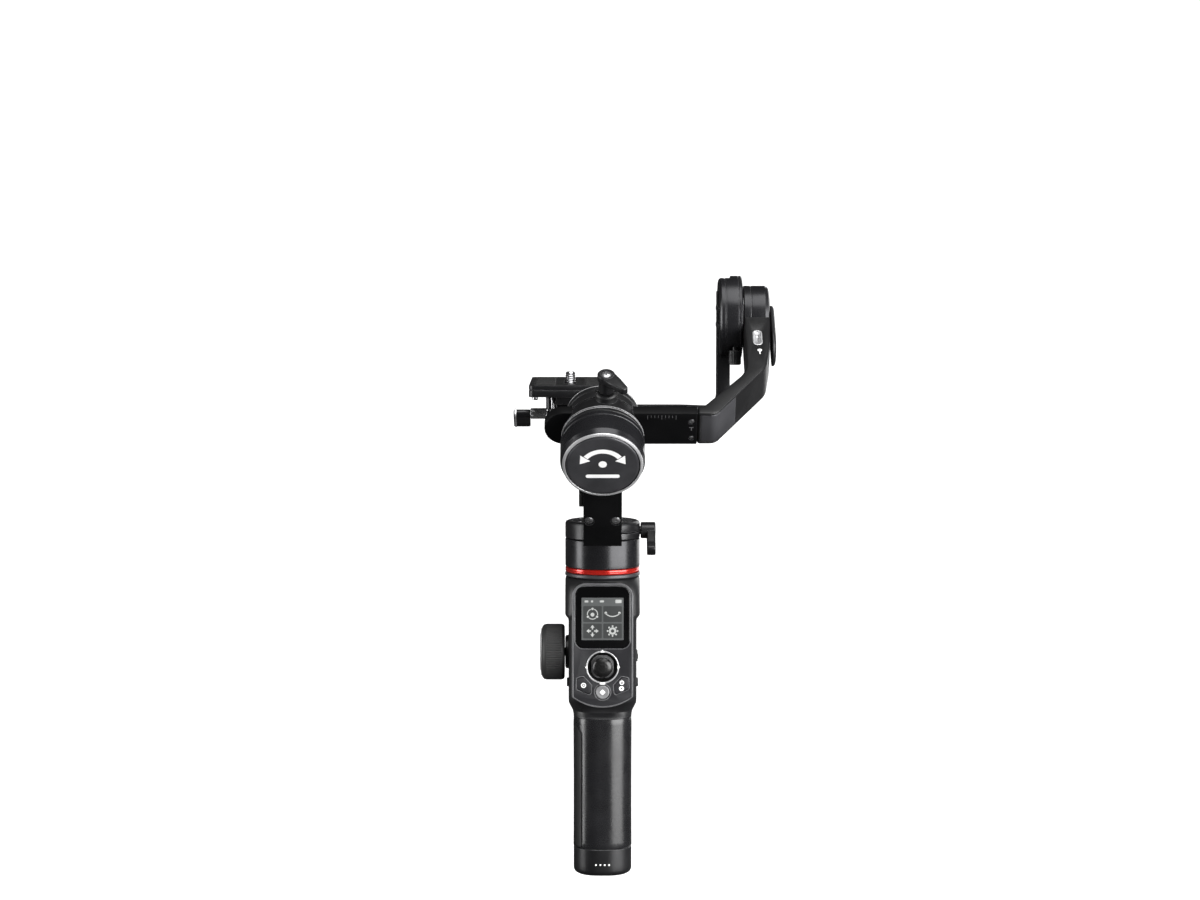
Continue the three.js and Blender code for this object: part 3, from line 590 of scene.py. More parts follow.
def build_grip():
    core_low, core_high = BAND_TOP + 0.25, GRIP_TOP - 0.25
    seam = 0.003
    front = skin_patch(
        "grip_front", lambda z: 0.5 + seam, lambda z: 1 - seam, heights(core_low, core_high, 24), 0,
        2.4
    )
    rear = skin_patch(
        "grip_rear", lambda z: seam, lambda z: 0.5 - seam, heights(core_low, core_high, 24), 0, 2.4
    )

    def edge(z, side):
        """The pad's front edge leans back over its top stretch."""
        t = min(max((z - (core_high - 9)) / 6, 0), 1)
        body, tip = PAD_EDGE[side]
        return (body + (tip - body) * t) / 4

    pad_high = core_high - 3.2
    pads = []
    for side in ("right", "left"):
        base = 1.0 if side == "right" else 0.5
        sign = -1 if side == "right" else 1
        first = (lambda z, b=base, s=sign, n=side: b + s * edge(z, n))
        last = (lambda z, b=base, s=sign: b - s * 0.17)
        ends = (first, last) if side == "right" else (last, first)
        groove = skin_patch(
            "groove", *[lambda z, e=e, k=k: e(z) + k * 0.0028 for e, k in zip(ends, (-1, 1))],
            heights(core_low - 2, pad_high + 0.3, 24), -0.4, 1.5
        )
        for shell in (front, rear):
            tool = groove.copy()
            tool.data = groove.data.copy()
            bpy.context.scene.collection.objects.link(tool)
            cut(shell, tool)
        bpy.data.objects.remove(groove)
        pads.append(
            (
                side,
                skin_patch("grip_pad_" + side, *ends, heights(core_low, pad_high, 40), -0.12, 0.9)
            )
        )
    for piece, node in ((front, "grip_front_cover"), (rear, "grip_rear_cover")):
        soften(piece, 0.3, 2, 40)
        dress(piece, "handle", "black_shell", GRIP, node)
    for side, piece in pads:
        soften(piece, 0.35, 3, 50)
        dress(piece, "handle", "black_rubber", PAD, side + "_grip_pad")
    core = loft("grip_core", [grip_ring(z, 2.6) for z in heights(core_low - 1, core_high + 0.5, 4)])
    dress(core, "handle", "black_shell", RUBBER)

    chamfer = [(0.0, 2.2), (0.5, 1.3), (1.2, 0.55), (2.2, 0.12), (3.2, 0.0)]
    rings = [grip_ring(z, inset) for z, inset in chamfer]
    rings += [
        grip_ring(z) for z in heights(6, BAND_TOP - 0.6, 4)
    ] + [grip_ring(BAND_TOP - 0.12, 0.45)]
    cap = loft("base_band", rings)
    socket_radius = span("tripod_socket", "X")[1]
    cut(cap, rod("hole", socket_radius + 0.1, "Z", (-2, 10)))
    diagonals = [math.radians(a) for a in (45, 135, 225, 315)]
    spots = [(11.2 * math.cos(a), 14.5 * math.sin(a)) for a in diagonals]
    for spot in spots:
        cut(cap, rod("screw_well", 2.0, "Z", (-1, 0.9), spot))
    dress(cap, "handle", "black_metal", METAL, "base_cap")
    turns = 7
    profile = [(socket_radius, 0.15), (socket_radius, 9.4), (0, 9.4), (0, 8), (3.2, 8)]
    for k in range(turns):
        z = 7.6 - k
        profile += [(3.2, z), (2.75, z - 0.5)]
    profile += [(3.2, 0.5), (3.6, 0.15), (socket_radius, 0.15)]
    dress(lathe("tripod_thread", profile), "handle", "brass", BRASS, "tripod_socket")
    fit_screws("base_screws", "handle", "steel", STEEL, spots, 1.7, "Z", 0.3, 1)

    lights = [
        rod(
            "light", 0.55, "Y", (-GRIP_DEPTH - 0.06, -GRIP_DEPTH + 1.0), (x, BAND_TOP - 9.4),
            facets=24, fillet=0.08
        ) for x in (-3.9, -1.3, 1.3, 3.9)
    ]
    dress(join("battery_lights", lights), "handle", "display", WHITE)


def cross_screw(name, radius, axis, centre, face, out, space=None):
    """A low domed screw head with a cross recess. face is where its seat lies and out its direction."""
    height = 0.42 * radius
    profile = [
        (0, face - out * 0.6), (radius, face - out * 0.6), (radius, face + out * height * 0.45),
        (radius * 0.72, face + out * height * 0.9), (0, face + out * height)
    ]
    head = lathe(name, profile, axis, centre, space, 40)
    u, v = centre
    for a, b in ((0.62, 0.13), (0.13, 0.62)):
        arm = [(u - radius * a, v - radius * b), (u + radius * a, v - radius * b),
               (u + radius * a, v + radius * b), (u - radius * a, v + radius * b)]
        ends = sorted((face + out * height * 0.35, face + out * height * 2))
        cut(head, prism("slot", arm, axis, ends, space))
    return head


# ---- Control body ----
FRONT = span("control_front_shell", "Y")[0]
BACK = span("control_rear_shell", "Y")[1]
SHOULDER = span("control_rear_shell", "X")[1]
WAIST = SHOULDER - 2
PANEL_FRONT, PANEL_BACK = span("face_plate", "Y")
PANEL_HALF = span("face_plate", "X")[1]
PANEL_LOW, PANEL_HIGH = span("face_plate", "Z")
STICK_Z = sum(span("joystick_cap", "Z")) / 2
RECORD_Z = sum(span("record_button", "Z")) / 2
WHEEL_Z = sum(span("focus_wheel", "Z")) / 2


def control_ring(z, half, front, back, corner, inset=0.0):
    """An outline of the control body, whose front and back lie at their own distances."""
    middle, depth = (front + back) / 2, (back - front) / 2
    points = stretched_circle(half - inset, depth - inset, max(corner - inset, 0.5), RING_POINTS)
    return [(x, y + middle, z) for x, y in points]


def build_control():
    levels = [  # height above the grip, half width, front, back, corner
        (0.0, GRIP_HALF, -GRIP_DEPTH + 0.2, GRIP_DEPTH, GRIP_CORNER),
        (1.4, GRIP_HALF + 0.1, -GRIP_DEPTH + 1.6, GRIP_DEPTH, 13.5),
        (3.4, GRIP_HALF + 0.5, -GRIP_DEPTH + 3.6, GRIP_DEPTH + 0.1, 12),
        (6.0, WAIST - 1.2, -GRIP_DEPTH + 3.2, GRIP_DEPTH + 0.3, 10.5),
        (8.8, WAIST - 0.1, -GRIP_DEPTH + 0.8, BACK - 0.2, 9.5),
        (11.5, WAIST, FRONT + 0.1, BACK, 8.5),
        (14.5, WAIST, FRONT, BACK, 8),
        (58.0, WAIST, FRONT, BACK, 8),
        (59.3, WAIST + 0.15, FRONT, BACK, 8),
        (61.3, SHOULDER - 0.2, FRONT, BACK, 8.5),
        (62.4, SHOULDER, FRONT, BACK, 8.8),
        (74.0, SHOULDER, FRONT, BACK, 10.5),
        (78.4, SHOULDER, FRONT + 0.3, BACK, 13.5),
        (81.2, SHOULDER, FRONT + 0.7, BACK - 0.2, 18),
        (82.6, SHOULDER - 0.25, FRONT + 1.2, BACK - 0.6, 20.5),
        (83.0, SHOULDER - 0.7, FRONT + 1.7, BACK - 1.1, 20.3),
    ]
    body = loft("control_body", [control_ring(GRIP_TOP + z, *rest) for z, *rest in levels])
    wheel_seat = rod("seat", 10.35, "X", (-WAIST - 3, -WAIST + 1.6), (0, WHEEL_Z))
    low, high = span("trigger", "Z")
    slot = prism("slot", rect((-6.9, 6.9), (low + 0.2, high + 1.2), 1.5), "Y", (BACK - 8, BACK + 6))
    port_y, port_z = span("port_cover", "Y"), span("port_cover", "Z")
    port = prism(
        "port",
        rect((port_y[0] - 0.25, port_y[1] + 0.25), (port_z[0] - 0.25, port_z[1] + 0.25), 1.8), "X",
        (WAIST - 1.4, WAIST + 3)
    )
    cut(body, wheel_seat, slot, port)
    for side in ("left", "right"):
        y, z = span(side + "_release_button", "Y"), span(side + "_release_button", "Z")
        sign = -1 if side == "left" else 1
        ends = sorted((sign * (WAIST - 3.1), sign * (WAIST + 3)))
        cut(
            body,
            prism("well", rect((y[0] - 0.3, y[1] + 0.3), (z[0] - 0.3, z[1] + 0.3), 1.4), "X", ends)
        )
    for side in (-1, 1):
        groove = [(side * (half - 0.45), GRIP_TOP + z) for z, half, *_ in levels]
        groove += [(side * (half + 2), GRIP_TOP + z) for z, half, *_ in levels[::-1]]
        cut(body, prism("seam", groove, "Y", (-0.16, 0.16)))
    cut(body, prism("panel_well", panel_outline(0.35), "Y", (FRONT - 3, FRONT + 1.5)))
    spots = [(x, GRIP_TOP + z) for x in (-13.5, 13.5) for z in (10, 70)]
    for spot in spots:
        cut(body, rod("screw_well", 2.1, "Y", (BACK - 1.4, BACK + 2), spot, facets=32))
    soften(body, 0.22, 2, 40)
    dress(body, "handle", "black_shell", SHELL, "control_front_shell", "control_rear_shell")
    fit_screws("case_screws", "handle", "steel", METAL, spots, 1.75, "Y", BACK - 1.3, 1)

    cover = prism("side_port_cover", rect(port_y, port_z, 1.6), "X", (WAIST - 1.2, WAIST + 0.65))
    lip = prism(
        "lip", rect((port_y[0] + 0.8, port_y[0] + 1.8), (port_z[0] + 1.6, port_z[1] - 1.6), 0.45),
        "X", (WAIST + 0.3, WAIST + 1.0)
    )
    dress(soften(fuse(cover, lip), 0.3, 3, 40), "handle", "black_rubber", RUBBER, "port_cover")


def panel_outline(grow=0.0):
    """The operator's panel: round upper corners and a bowl-shaped lower edge."""
    half, top = PANEL_HALF + grow, PANEL_HIGH + grow
    side_low = PANEL_LOW + 6.3
    drop = side_low - (PANEL_LOW - grow)
    radius = (half * half + drop * drop) / (2 * drop)
    sweep = math.degrees(math.asin(half / radius))
    bowl = arc((0, PANEL_LOW - grow + radius), radius, 270 - sweep, 270 + sweep, 40)
    corner = 8 + grow
    right = arc((half - corner, top - corner), corner, 0, 90, 14)
    left = arc((-half + corner, top - corner), corner, 90, 180, 14)
    return bowl + right + left


def key_outline(side, grow=0.0):
    """A side key: five-sided, with its inner edge cut back round the joystick."""
    corners = [(6.9, 4.2), (11.3, 9.0), (15.1, 8.2), (15.1, 1.9), (7.2, -1.6)]
    middle = Vector((11.2, 4.0))
    points = []
    for x, z in corners:
        out = (Vector((x, z)) - middle).normalized() * grow
        points.append((side * (x + out.x), RECORD_Z + z + out.y))
    points = points if side > 0 else points[::-1]
    return rounded(points, 1.3, 5)


def build_panel():
    plate = prism("control_panel", panel_outline(0), "Y", (PANEL_FRONT, PANEL_BACK))
    soften(plate, 0.55, 4, 40)
    glass_x = span("screen_glass", "X")
    glass_z = span("screen_glass", "Z")
    window = rect(
        (glass_x[0] - 0.3, glass_x[1] + 0.3), (glass_z[0] - 0.3, glass_z[1] + 0.3), 5.3, 10
    )
    tools = [prism("window", window, "Y", (PANEL_FRONT - 2, PANEL_BACK + 1))]
    dish = [
        (0, PANEL_FRONT - 3), (9.9, PANEL_FRONT - 3), (9.7, PANEL_FRONT), (9.1, PANEL_FRONT + 0.9),
        (8.2, PANEL_FRONT + 1.5), (7.4, PANEL_FRONT + 1.8), (7.4, PANEL_BACK + 1),
        (0, PANEL_BACK + 1)
    ]
    tools.append(lathe("dish", dish, "Y", (0, STICK_Z)))
    tools.append(rod("hole", 4.5, "Y", (PANEL_FRONT - 2, PANEL_BACK + 1), (0, RECORD_Z), facets=64))
    tools += [
        prism("key_hole", key_outline(side, 0.3), "Y", (PANEL_FRONT - 2, PANEL_BACK + 1))
        for side in (-1, 1)
    ]
    cut(plate, *tools)
    soften(plate, 0.16, 2, 40)
    dress(plate, "handle", "grey_panel", PANEL, "face_plate")

    # A pale rim round the panel, a little proud of it: a lighter bezel line, its paleness partly a
    # painted highlight of the lit edge.
    outer, inner = panel_outline(0.12), panel_outline(-0.75)
    rim = prism("panel_rim", outer, "Y", (PANEL_FRONT - 0.12, PANEL_FRONT + 1.2))
    cut(rim, prism("inside", inner, "Y", (PANEL_FRONT - 2, PANEL_FRONT + 3)))
    dress(soften(rim, 0.25, 3, 40), "handle", "grey_panel", RIM)

    surround = prism("screen_surround", rect((glass_x[0] - 0.62, glass_x[1] + 0.62),
                                             (glass_z[0] - 0.62, glass_z[1] + 0.62), 5.6, 10), "Y",
                     (PANEL_FRONT - 0.1, PANEL_FRONT + 1.0))
    cut(
        surround,
        prism(
            "inside",
            rect(
                (glass_x[0] - 0.1, glass_x[1] + 0.1), (glass_z[0] - 0.1, glass_z[1] + 0.1), 5.1, 10
            ), "Y", (PANEL_FRONT - 2, PANEL_FRONT + 3)
        )
    )
    dress(soften(surround, 0.2, 3, 40), "handle", "grey_panel", RIM)

    glass = prism(
        "screen_window", rect(glass_x, glass_z, 5, 10), "Y", (PANEL_FRONT - 0.3, PANEL_BACK + 0.2)
    )
    dress(soften(glass, 0.35, 4, 40), "handle", "screen_glass", GLASS, "screen_glass")
    build_display(PANEL_FRONT - 0.3)

    # Joystick ring and its four markers
    # The rim is pale all round: a painted highlight for its lit upper arc.
    ring = tube(
        "joystick_rim", 8.9, 9.75, "Y", (PANEL_FRONT - 0.22, PANEL_FRONT + 0.7), (0, STICK_Z),
        fillet=0.3
    )
    dress(ring, "handle", "grey_panel", BRIGHT)
    bowl = [
        (7.35, PANEL_FRONT + 2.2), (7.35, PANEL_FRONT + 1.5), (8.85, PANEL_FRONT + 0.3),
        (8.85, PANEL_FRONT + 2.2), (7.35, PANEL_FRONT + 2.2)
    ]
    dress(lathe("joystick_dish", bowl, "Y", (0, STICK_Z)), "handle", "black_shell", GLOSS)
    marks = []
    for angle in (0, 90, 180):
        tip = [(10.4, 0.0), (8.8, 1.35), (8.8, -1.35)]
        marks.append(
            prism(
                "mark", turned(tip, angle, (0, STICK_Z)), "Y",
                (PANEL_FRONT - 0.3, PANEL_FRONT + 0.1)
            )
        )
    bar = [(10.3, -1.6), (10.3, 1.6), (9.0, 1.6), (9.0, -1.6)]
    marks.append(
        prism(
            "mark", rounded(turned(bar, 270, (0, STICK_Z)), 0.5), "Y",
            (PANEL_FRONT - 0.3, PANEL_FRONT + 0.1)
        )
    )
    dress(join("joystick_marks", marks), "handle", "grey_panel", WHITE)

    face = span("record_button", "Y")[0]
    dished = [
        (0, face + 0.3), (2.6, face + 0.18), (3.5, face), (4.05, face + 0.35),
        (4.05, PANEL_BACK - 0.7), (0, PANEL_BACK - 0.7)
    ]
    dress(
        lathe("record_key", dished, "Y", (0, RECORD_Z), fillet=0.12), "record_key", "steel", SATIN,
        "record_button"
    )
    square = prism(
        "record_mark", turned(rounded(rect((-1.25, 1.25), (-1.25, 1.25)), 0.35), 45, (0, RECORD_Z)),
        "Y", (face + 0.14, face + 0.4)
    )
    dress(square, "record_key", "display", WHITE)
    ring = tube(
        "record_rim", 4.55, 5.15, "Y", (PANEL_FRONT - 0.12, PANEL_FRONT + 0.6), (0, RECORD_Z),
        fillet=0.2
    )
    dress(ring, "handle", "grey_panel", RIM)
    for side, name, node in ((-1, "mode", "mode_button"), (1, "power", "power_button")):
        key = prism(name + "_cap", key_outline(side), "Y", (face + 0.1, PANEL_BACK - 0.7))
        dress(soften(key, 0.5, 4, 40), name + "_key", "grey_panel", PANEL, node)
        frame_ring = prism(
            name + "_rim", key_outline(side, 0.85), "Y", (PANEL_FRONT - 0.1, PANEL_FRONT + 0.6)
        )
        cut(
            frame_ring,
            prism("inside", key_outline(side, 0.35), "Y", (PANEL_FRONT - 2, PANEL_FRONT + 2))
        )
        dress(soften(frame_ring, 0.15, 2, 40), "handle", "grey_panel", RIM)
        y = (face - 0.02, face + 0.3)
        if side < 0:
            glyph = [tube("g", 0.95, 1.5, "Y", y, (-11.2, RECORD_Z + 4.2), facets=32),
                     rod("g", 0.5, "Y", y, (-11.2, RECORD_Z + 4.2), facets=24)]
        else:
            glyph = [tube("g", 0.7, 1.35, "Y", y, (11.4, RECORD_Z + 5.8), facets=32),
                     tube("g", 0.45, 1.45, "Y", y, (11.2, RECORD_Z + 2.3), facets=32),
                     prism("g", rect((11.15, 11.65), (RECORD_Z + 5.8, RECORD_Z + 7.4)), "Y", y)]
        dress(join(name + "_mark", glyph), name + "_key", "display", WHITE)


def turned(points, degrees, centre):
    c, s = math.cos(math.radians(degrees)), math.sin(math.radians(degrees))
    return [(centre[0] + x * c - y * s, centre[1] + x * s + y * c) for x, y in points]


def build_display(face):
    """A lit menu of four tiles under a status line, on the front of the glass."""
    x0, x1 = -12.4, 12.4
    z0, z1 = span("screen_glass", "Z")[0] + 5, span("screen_glass", "Z")[1] - 6.6
    back = prism("display_face", rect((x0, x1), (z0, z1), 0.4), "Y", (face - 0.03, face + 0.2))
    dress(back, "handle", "display", DISPLAY)
    line, top = 0.45, z1 - 4.6
    middle_x, middle_z = 0.0, (z0 + top) / 2
    tiles, icons = [], []
    y_tile, y_icon = (face - 0.05, face + 0.1), (face - 0.08, face + 0.1)
    centres = {}
    for column, (a, b) in enumerate(((x0 + 1.0, middle_x - line), (middle_x + line, x1 - 1.0))):
        for row, (c, d) in enumerate(((z0 + 1.0, middle_z - line), (middle_z + line, top - 0.4))):
            tiles.append(prism("t", rect((a, b), (c, d), 0.5), "Y", y_tile))
            centres[column, row] = ((a + b) / 2, (c + d) / 2)
    dress(join("display_tiles", tiles), "handle", "display", TILE)

    def disc(u, v, r):
        icons.append(rod("i", r, "Y", y_icon, (u, v), facets=20))

    def ring_part(u, v, inner, outer, start, end):
        points = arc((u, v), outer, start, end, 16) + arc((u, v), inner, end, start, 16)
        icons.append(prism("i", points, "Y", y_icon))

    u, v = centres[0, 1]  # three axes round a drop
    disc(u, v - 0.3, 1.15)
    for angle in (90, 210, 330):
        ring_part(u, v, 2.75, 3.25, angle + 18, angle + 102)
        disc(u + 3.1 * math.cos(math.radians(angle)), v + 3.1 * math.sin(math.radians(angle)), 0.7)
    u, v = centres[1, 1]  # a swing between two ends
    ring_part(u, v + 4.4, 5.5, 6.1, 225, 315)
    for side in (-1, 1):
        disc(u + side * 4.0, v + 0.7, 0.75)
    u, v = centres[0, 0]  # four ways
    for angle in (0, 90, 180, 270):
        head = turned(
            [(3.6, 0), (2.0, 1.25), (2.0, 0.4), (0.9, 0.4), (0.9, -0.4), (2.0, -0.4), (2.0, -1.25)],
            angle, (u, v)
        )
        icons.append(prism("i", head, "Y", y_icon))
    u, v = centres[1, 0]  # settings
    ring_part(u, v, 1.0, 2.2, 0, 359.9)
    for k in range(8):
        a = math.radians(45 * k)
        disc(u + 2.9 * math.cos(a), v + 2.9 * math.sin(a), 0.55)
    bar = top + 2.4
    for x, width in ((-10.6, 2.2), (-6.8, 1.2), (-1.6, 2.4)):
        icons.append(prism("i", rect((x, x + width), (bar - 0.6, bar + 0.6), 0.3), "Y", y_icon))
    icons.append(prism("i", rect((7.6, 11.2), (bar - 1.0, bar + 1.0), 0.3), "Y", y_icon))
    dress(join("display_icons", icons), "handle", "display", ICON)


def build_stick():
    y0, y1 = span("joystick_cap", "Y")
    profile = near(
        0, y0, (0, 0), (1.8, 0.05), (3.6, 0.35), (5.0, 1.0), (5.75, 1.7), (6.0, 2.3), (5.7, 2.9),
        (4.2, 3.3), (2.9, 3.6), (2.3, 4.4)
    )
    profile += [(2.0, y1 - 3), (2.0, y1), (0, y1)]
    cap = lathe("joystick_knob", profile, "Y", (0, STICK_Z), fillet=0.3)
    for k in range(24):
        a = TURN * k / 24
        x, z = 6.15 * math.cos(a), STICK_Z + 6.15 * math.sin(a)
        cut(cap, rod("rib", 0.38, "Y", (y0 - 1, y0 + 5), (x, z), facets=10))
    cut(cap, tube("groove", 2.3, 2.7, "Y", (y0 - 1, y0 + 0.35), (0, STICK_Z), facets=64))
    dress(cap, "stick", "black_rubber", GLOSS, "joystick_cap")


# ---- Focus wheel, release buttons and trigger ----
def build_wheel():
    x_out, x_in = span("focus_wheel", "X")
    outer = span("focus_wheel", "Z")[1] - WHEEL_Z
    c = (0, WHEEL_Z)
    ribs = 72
    rows = [
        (x_in - 0.0, outer - 1.5, 0), (x_in - 0.5, outer - 0.6, 0), (x_in - 1.5, outer - 0.05, 0.0),
        (x_in - 1.9, outer, 1), (x_out + 3.4, outer, 1), (x_out + 2.9, outer - 0.05, 0),
        (x_out + 1.5, outer - 0.45, 0), (x_out + 0.6, outer - 1.4, 0), (x_out + 0.1, outer - 2.6, 0)
    ]
    steps = ribs * 6
    rings = []
    for x, r, knurl in rows:
        ring = []
        for k in range(steps):
            a = TURN * k / steps
            groove = 0.3 * knurl * max(0.0, math.cos(ribs * a)) ** 3
            ring.append((x, c[0] + (r - groove) * math.cos(a), c[1] + (r - groove) * math.sin(a)))
        rings.append(ring)
    wheel = loft("focus_rim", rings)
    cut(wheel, rod("bore", 2.6, "X", (x_out - 1, x_in + 1), c))
    cut(wheel, rod("recess", 13.0, "X", (x_out - 1, x_out + 0.9), c))
    dress(wheel, "wheel", "black_rubber", TREAD, "focus_wheel")
    # A pale ring on the wheel's rounded outer edge: a painted highlight.
    edge = tube("focus_edge_highlight", 13.05, 14.1, "X", (x_out - 0.25, x_out + 0.7), c, fillet=0.3)
    dress(edge, "wheel", "steel", BRIGHT)
    cap_out, cap_in = span("wheel_cap", "X")
    cap = lathe(
        "focus_cap",
        [
            (0, cap_out + 0.35), (6, cap_out + 0.25), (11, cap_out), (12.4, cap_out + 0.5),
            (12.6, cap_in + 0.3), (0, cap_in + 0.3)
        ], "X", c, fillet=0.3
    )
    cut(cap, tube("ring", 8.2, 8.6, "X", (cap_out - 1, cap_out + 0.55), c))
    dress(cap, "wheel", "black_metal", TURNED, "wheel_cap")
    hub_out, hub_in = -22.2, -WAIST + 1.4
    hub = lathe(
        "wheel_seat",
        [
            (2.4, hub_out), (9.0, hub_out), (10, hub_out + 0.6), (10, hub_in), (2.4, hub_in),
            (2.4, hub_out)
        ], "X", c, fillet=0.25
    )
    dress(
        fuse(hub, rod("axle", 2.5, "X", (x_out + 1.5, hub_in), c)), "handle", "black_shell", GLOSS,
        "wheel_axle"
    )


def build_side_buttons():
    for side, sign in (("left", -1), ("right", 1)):
        y, z = span(side + "_release_button", "Y"), span(side + "_release_button", "Z")
        ends = sorted((sign * (WAIST - 1.5), sign * (WAIST + 1.25)))
        button = prism(side + "_release", rect(y, z, 1.2), "X", ends)
        ribs = [
            prism(
                "rib",
                rect((y[0] + 1.0 + k * 1.3, y[0] + 1.5 + k * 1.3), (z[0] + 0.8, z[1] - 0.8), 0.2),
                "X", sorted((sign * (WAIST + 0.95), sign * (WAIST + 2)))
            ) for k in range(4)
        ]
        soften(button, 0.5, 4, 40)
        cut(button, *ribs)
        dress(button, side + "_release", "black_metal", METAL, side + "_release_button")


def build_trigger():
    low, high = span("trigger", "Z")
    y0, y1 = span("trigger", "Y")
    x = span("trigger", "X")
    side = [
        (y0, high - 0.4), (y0 + 4, high), (y0 + 10, high - 1), (y1 - 3.2, high - 9.6),
        (y1 - 3.4, high - 18), (y1, high - 26), (y1 - 0.7, low + 0.5), (y1 - 2.4, low),
        (y1 - 6.4, low + 4.6), (y1 - 8, low + 13), (y0 + 6, high - 8.2), (y0, high - 7)
    ]
    trigger = prism(
        "trigger_lever", rounded(side, [0.5, 1, 2.5, 6, 7, 0.8, 0.8, 1.2, 4, 5, 2, 0.5], 6), "X",
        (x[0] + 0.1, x[1] - 0.1)
    )
    cut(
        trigger,
        rod(
            "bore", 1.35, "X", (x[0] - 1, x[1] + 1),
            (joint("trigger_pull")["pos_m"][1] / MM, joint("trigger_pull")["pos_m"][2] / MM),
            facets=32
        )
    )
    dress(soften(trigger, 0.9, 4, 40), "trigger_lever", "black_metal", METAL, "trigger")


# ---- Pan motor ----
def build_pan():
    z0, z1 = span("pan_base_ring", "Z")[0], span("red_ring", "Z")[0] - 0.3
    radius = span("red_ring", "X")[1]
    base = [
        (0, z0), *near(radius, z0, (-1.2, 0), (0.1, 0.7)),
        *near(radius, z1, (0.1, -0.45), (-0.35, -0.05)), (0, z1 - 0.05)
    ]
    dress(
        lathe("pan_base", base, fillet=0.25, facets=PAN_FACETS), "handle", "black_metal", COVER,
        "pan_base_ring"
    )
    r0, r1 = span("red_ring", "Z")
    red = [
        (19.4, r0 - 0.2),
        *near(radius, r0, (-0.7, -0.2), (-0.1, 0.25), (0, 0.9), (-0.35, 1.25), (0, 1.65)),
        *near(radius, r1, (-0.1, -0.2), (-0.7, 0.15)), (19.4, r1 + 0.15), (19.4, r0 - 0.2)
    ]
    dress(
        lathe("red_trim", red, fillet=0.18, facets=PAN_FACETS), "handle", "red_ring", RED,
        "red_ring"
    )
    b0, b1 = span("pan_rotor", "Z")
    b0 = r1 + 0.3
    bell = [
        (19.6, b0), *near(radius, b0, (-0.5, 0), (-0.05, 0.5), (0, 2.0)),
        *near(radius, b1, (0, -0.5), (-0.3, -0.1)), (5.2, b1 - 0.1), (5.2, b1 - 3), (19.6, b1 - 3),
        (19.6, b0)
    ]
    dress(
        lathe("pan_bell", bell, fillet=0.12, facets=PAN_FACETS), "pan_head", "black_metal", TURNED,
        "pan_rotor"
    )
    c0, c1 = span("pan_clamp", "Z")
    clamp = [
        (0, c0), *near(radius, c0, (-0.4, 0), (0, 0.4)),
        *near(radius, c1, (0, -1.5), (-0.4, -0.5), (-1.5, 0)), (0, c1)
    ]
    clamp = lathe("pan_top", clamp, fillet=0.3, facets=PAN_FACETS)
    s0, s1 = span("pan_slider", "Z")[0], c1 - 2.5
    half = span("pan_slider", "X")[1]
    channel = prism(
        "channel", rect((-half - 0.3, half + 0.3), (s0 - 0.3, s1 + 0.3), 0.6), "Y", (-40, 40)
    )
    lever_z = joint("pan_lock_turn")["pos_m"][2] / MM
    cut(
        clamp, channel, rod("bore", 2.7, "X", (11, 40), (0, lever_z), facets=32),
        prism("split", rect((half - 1, radius + 3), (lever_z - 0.5, lever_z + 0.3)), "Y", (-40, 40))
    )
    cut(clamp, tube("top_groove", 17.6, 18.0, "Z", (c1 - 0.35, c1 + 1)))
    spots = on_circle(15.0, (35, 145, 215, 325))
    for spot in spots:
        cut(clamp, rod("screw_well", 2.0, "Z", (c1 - 1.4, c1 + 1), spot, facets=32))
    soften(clamp, 0.18, 2, 40)
    dress(clamp, "pan_head", "black_metal", METAL, "pan_clamp")
    fit_screws("pan_screws", "pan_head", "steel", METAL, spots, 1.65, "Z", c1 - 1.3, 1)
    build_pan_lever(lever_z)


def build_pan_lever(z):
    """The pan lock: a stud, a round hub with a screw, and a paddle that leans forward and down."""
    x0, x1 = 22.7, span("pan_lever", "X")[1]
    stud = rod("stud", 2.5, "X", (13, 24.2), (0, z), facets=40)
    hub = lathe(
        "hub", [(0, x0), (4.3, x0), (4.9, x0 + 0.5), (4.9, x1 - 0.5), (4.4, x1), (0, x1)], "X",
        (0, z), fillet=0.3
    )
    paddle = [
        (-3.6, -1.0), (3.6, -1.0), (3.1, -12), (3.5, -16.6), (2.4, -18.2), (-2.4, -18.2),
        (-3.5, -16.6), (-3.1, -12)
    ]
    blade = prism(
        "blade", turned(rounded(paddle, [1, 1, 8, 2, 2, 2, 2, 8], 5), -49, (0, z)), "X",
        (x0 + 3.6, x1 - 0.1)
    )
    soften(blade, 0.8, 4, 40)
    lever = fuse(hub, stud, blade)
    cut(lever, rod("well", 2.6, "X", (x1 - 0.9, x1 + 1), (0, z), facets=40))
    dress(lever, "pan_lock", "black_metal", METAL, "pan_lever")
    dress(cross_screw("pan_lever_screw", 2.3, "X", (0, z), x1 - 0.8, 1), "pan_lock", "steel", METAL)


# ---- Pan arm and the roll motor's fixed side ----
def roll_span(node, axis):
    """The two ends of a CAD node along an axis of roll space, in millimetres."""
    back = ROLL_SPACE.inverted()
    k = "XYZ".index(axis)
    values = [(back @ (v.co / MM))[k] for v in frame["nodes"][node].data.vertices]
    return min(values), max(values)


def roll_rod(name, radius, axis, ends, centre=(0, 0), facets=48, fillet=0.0):
    return rod(name, radius, axis, ends, centre, ROLL_SPACE, facets, fillet)


def roll_prism(name, outline, axis, ends):
    return prism(name, outline, axis, ends, ROLL_SPACE)


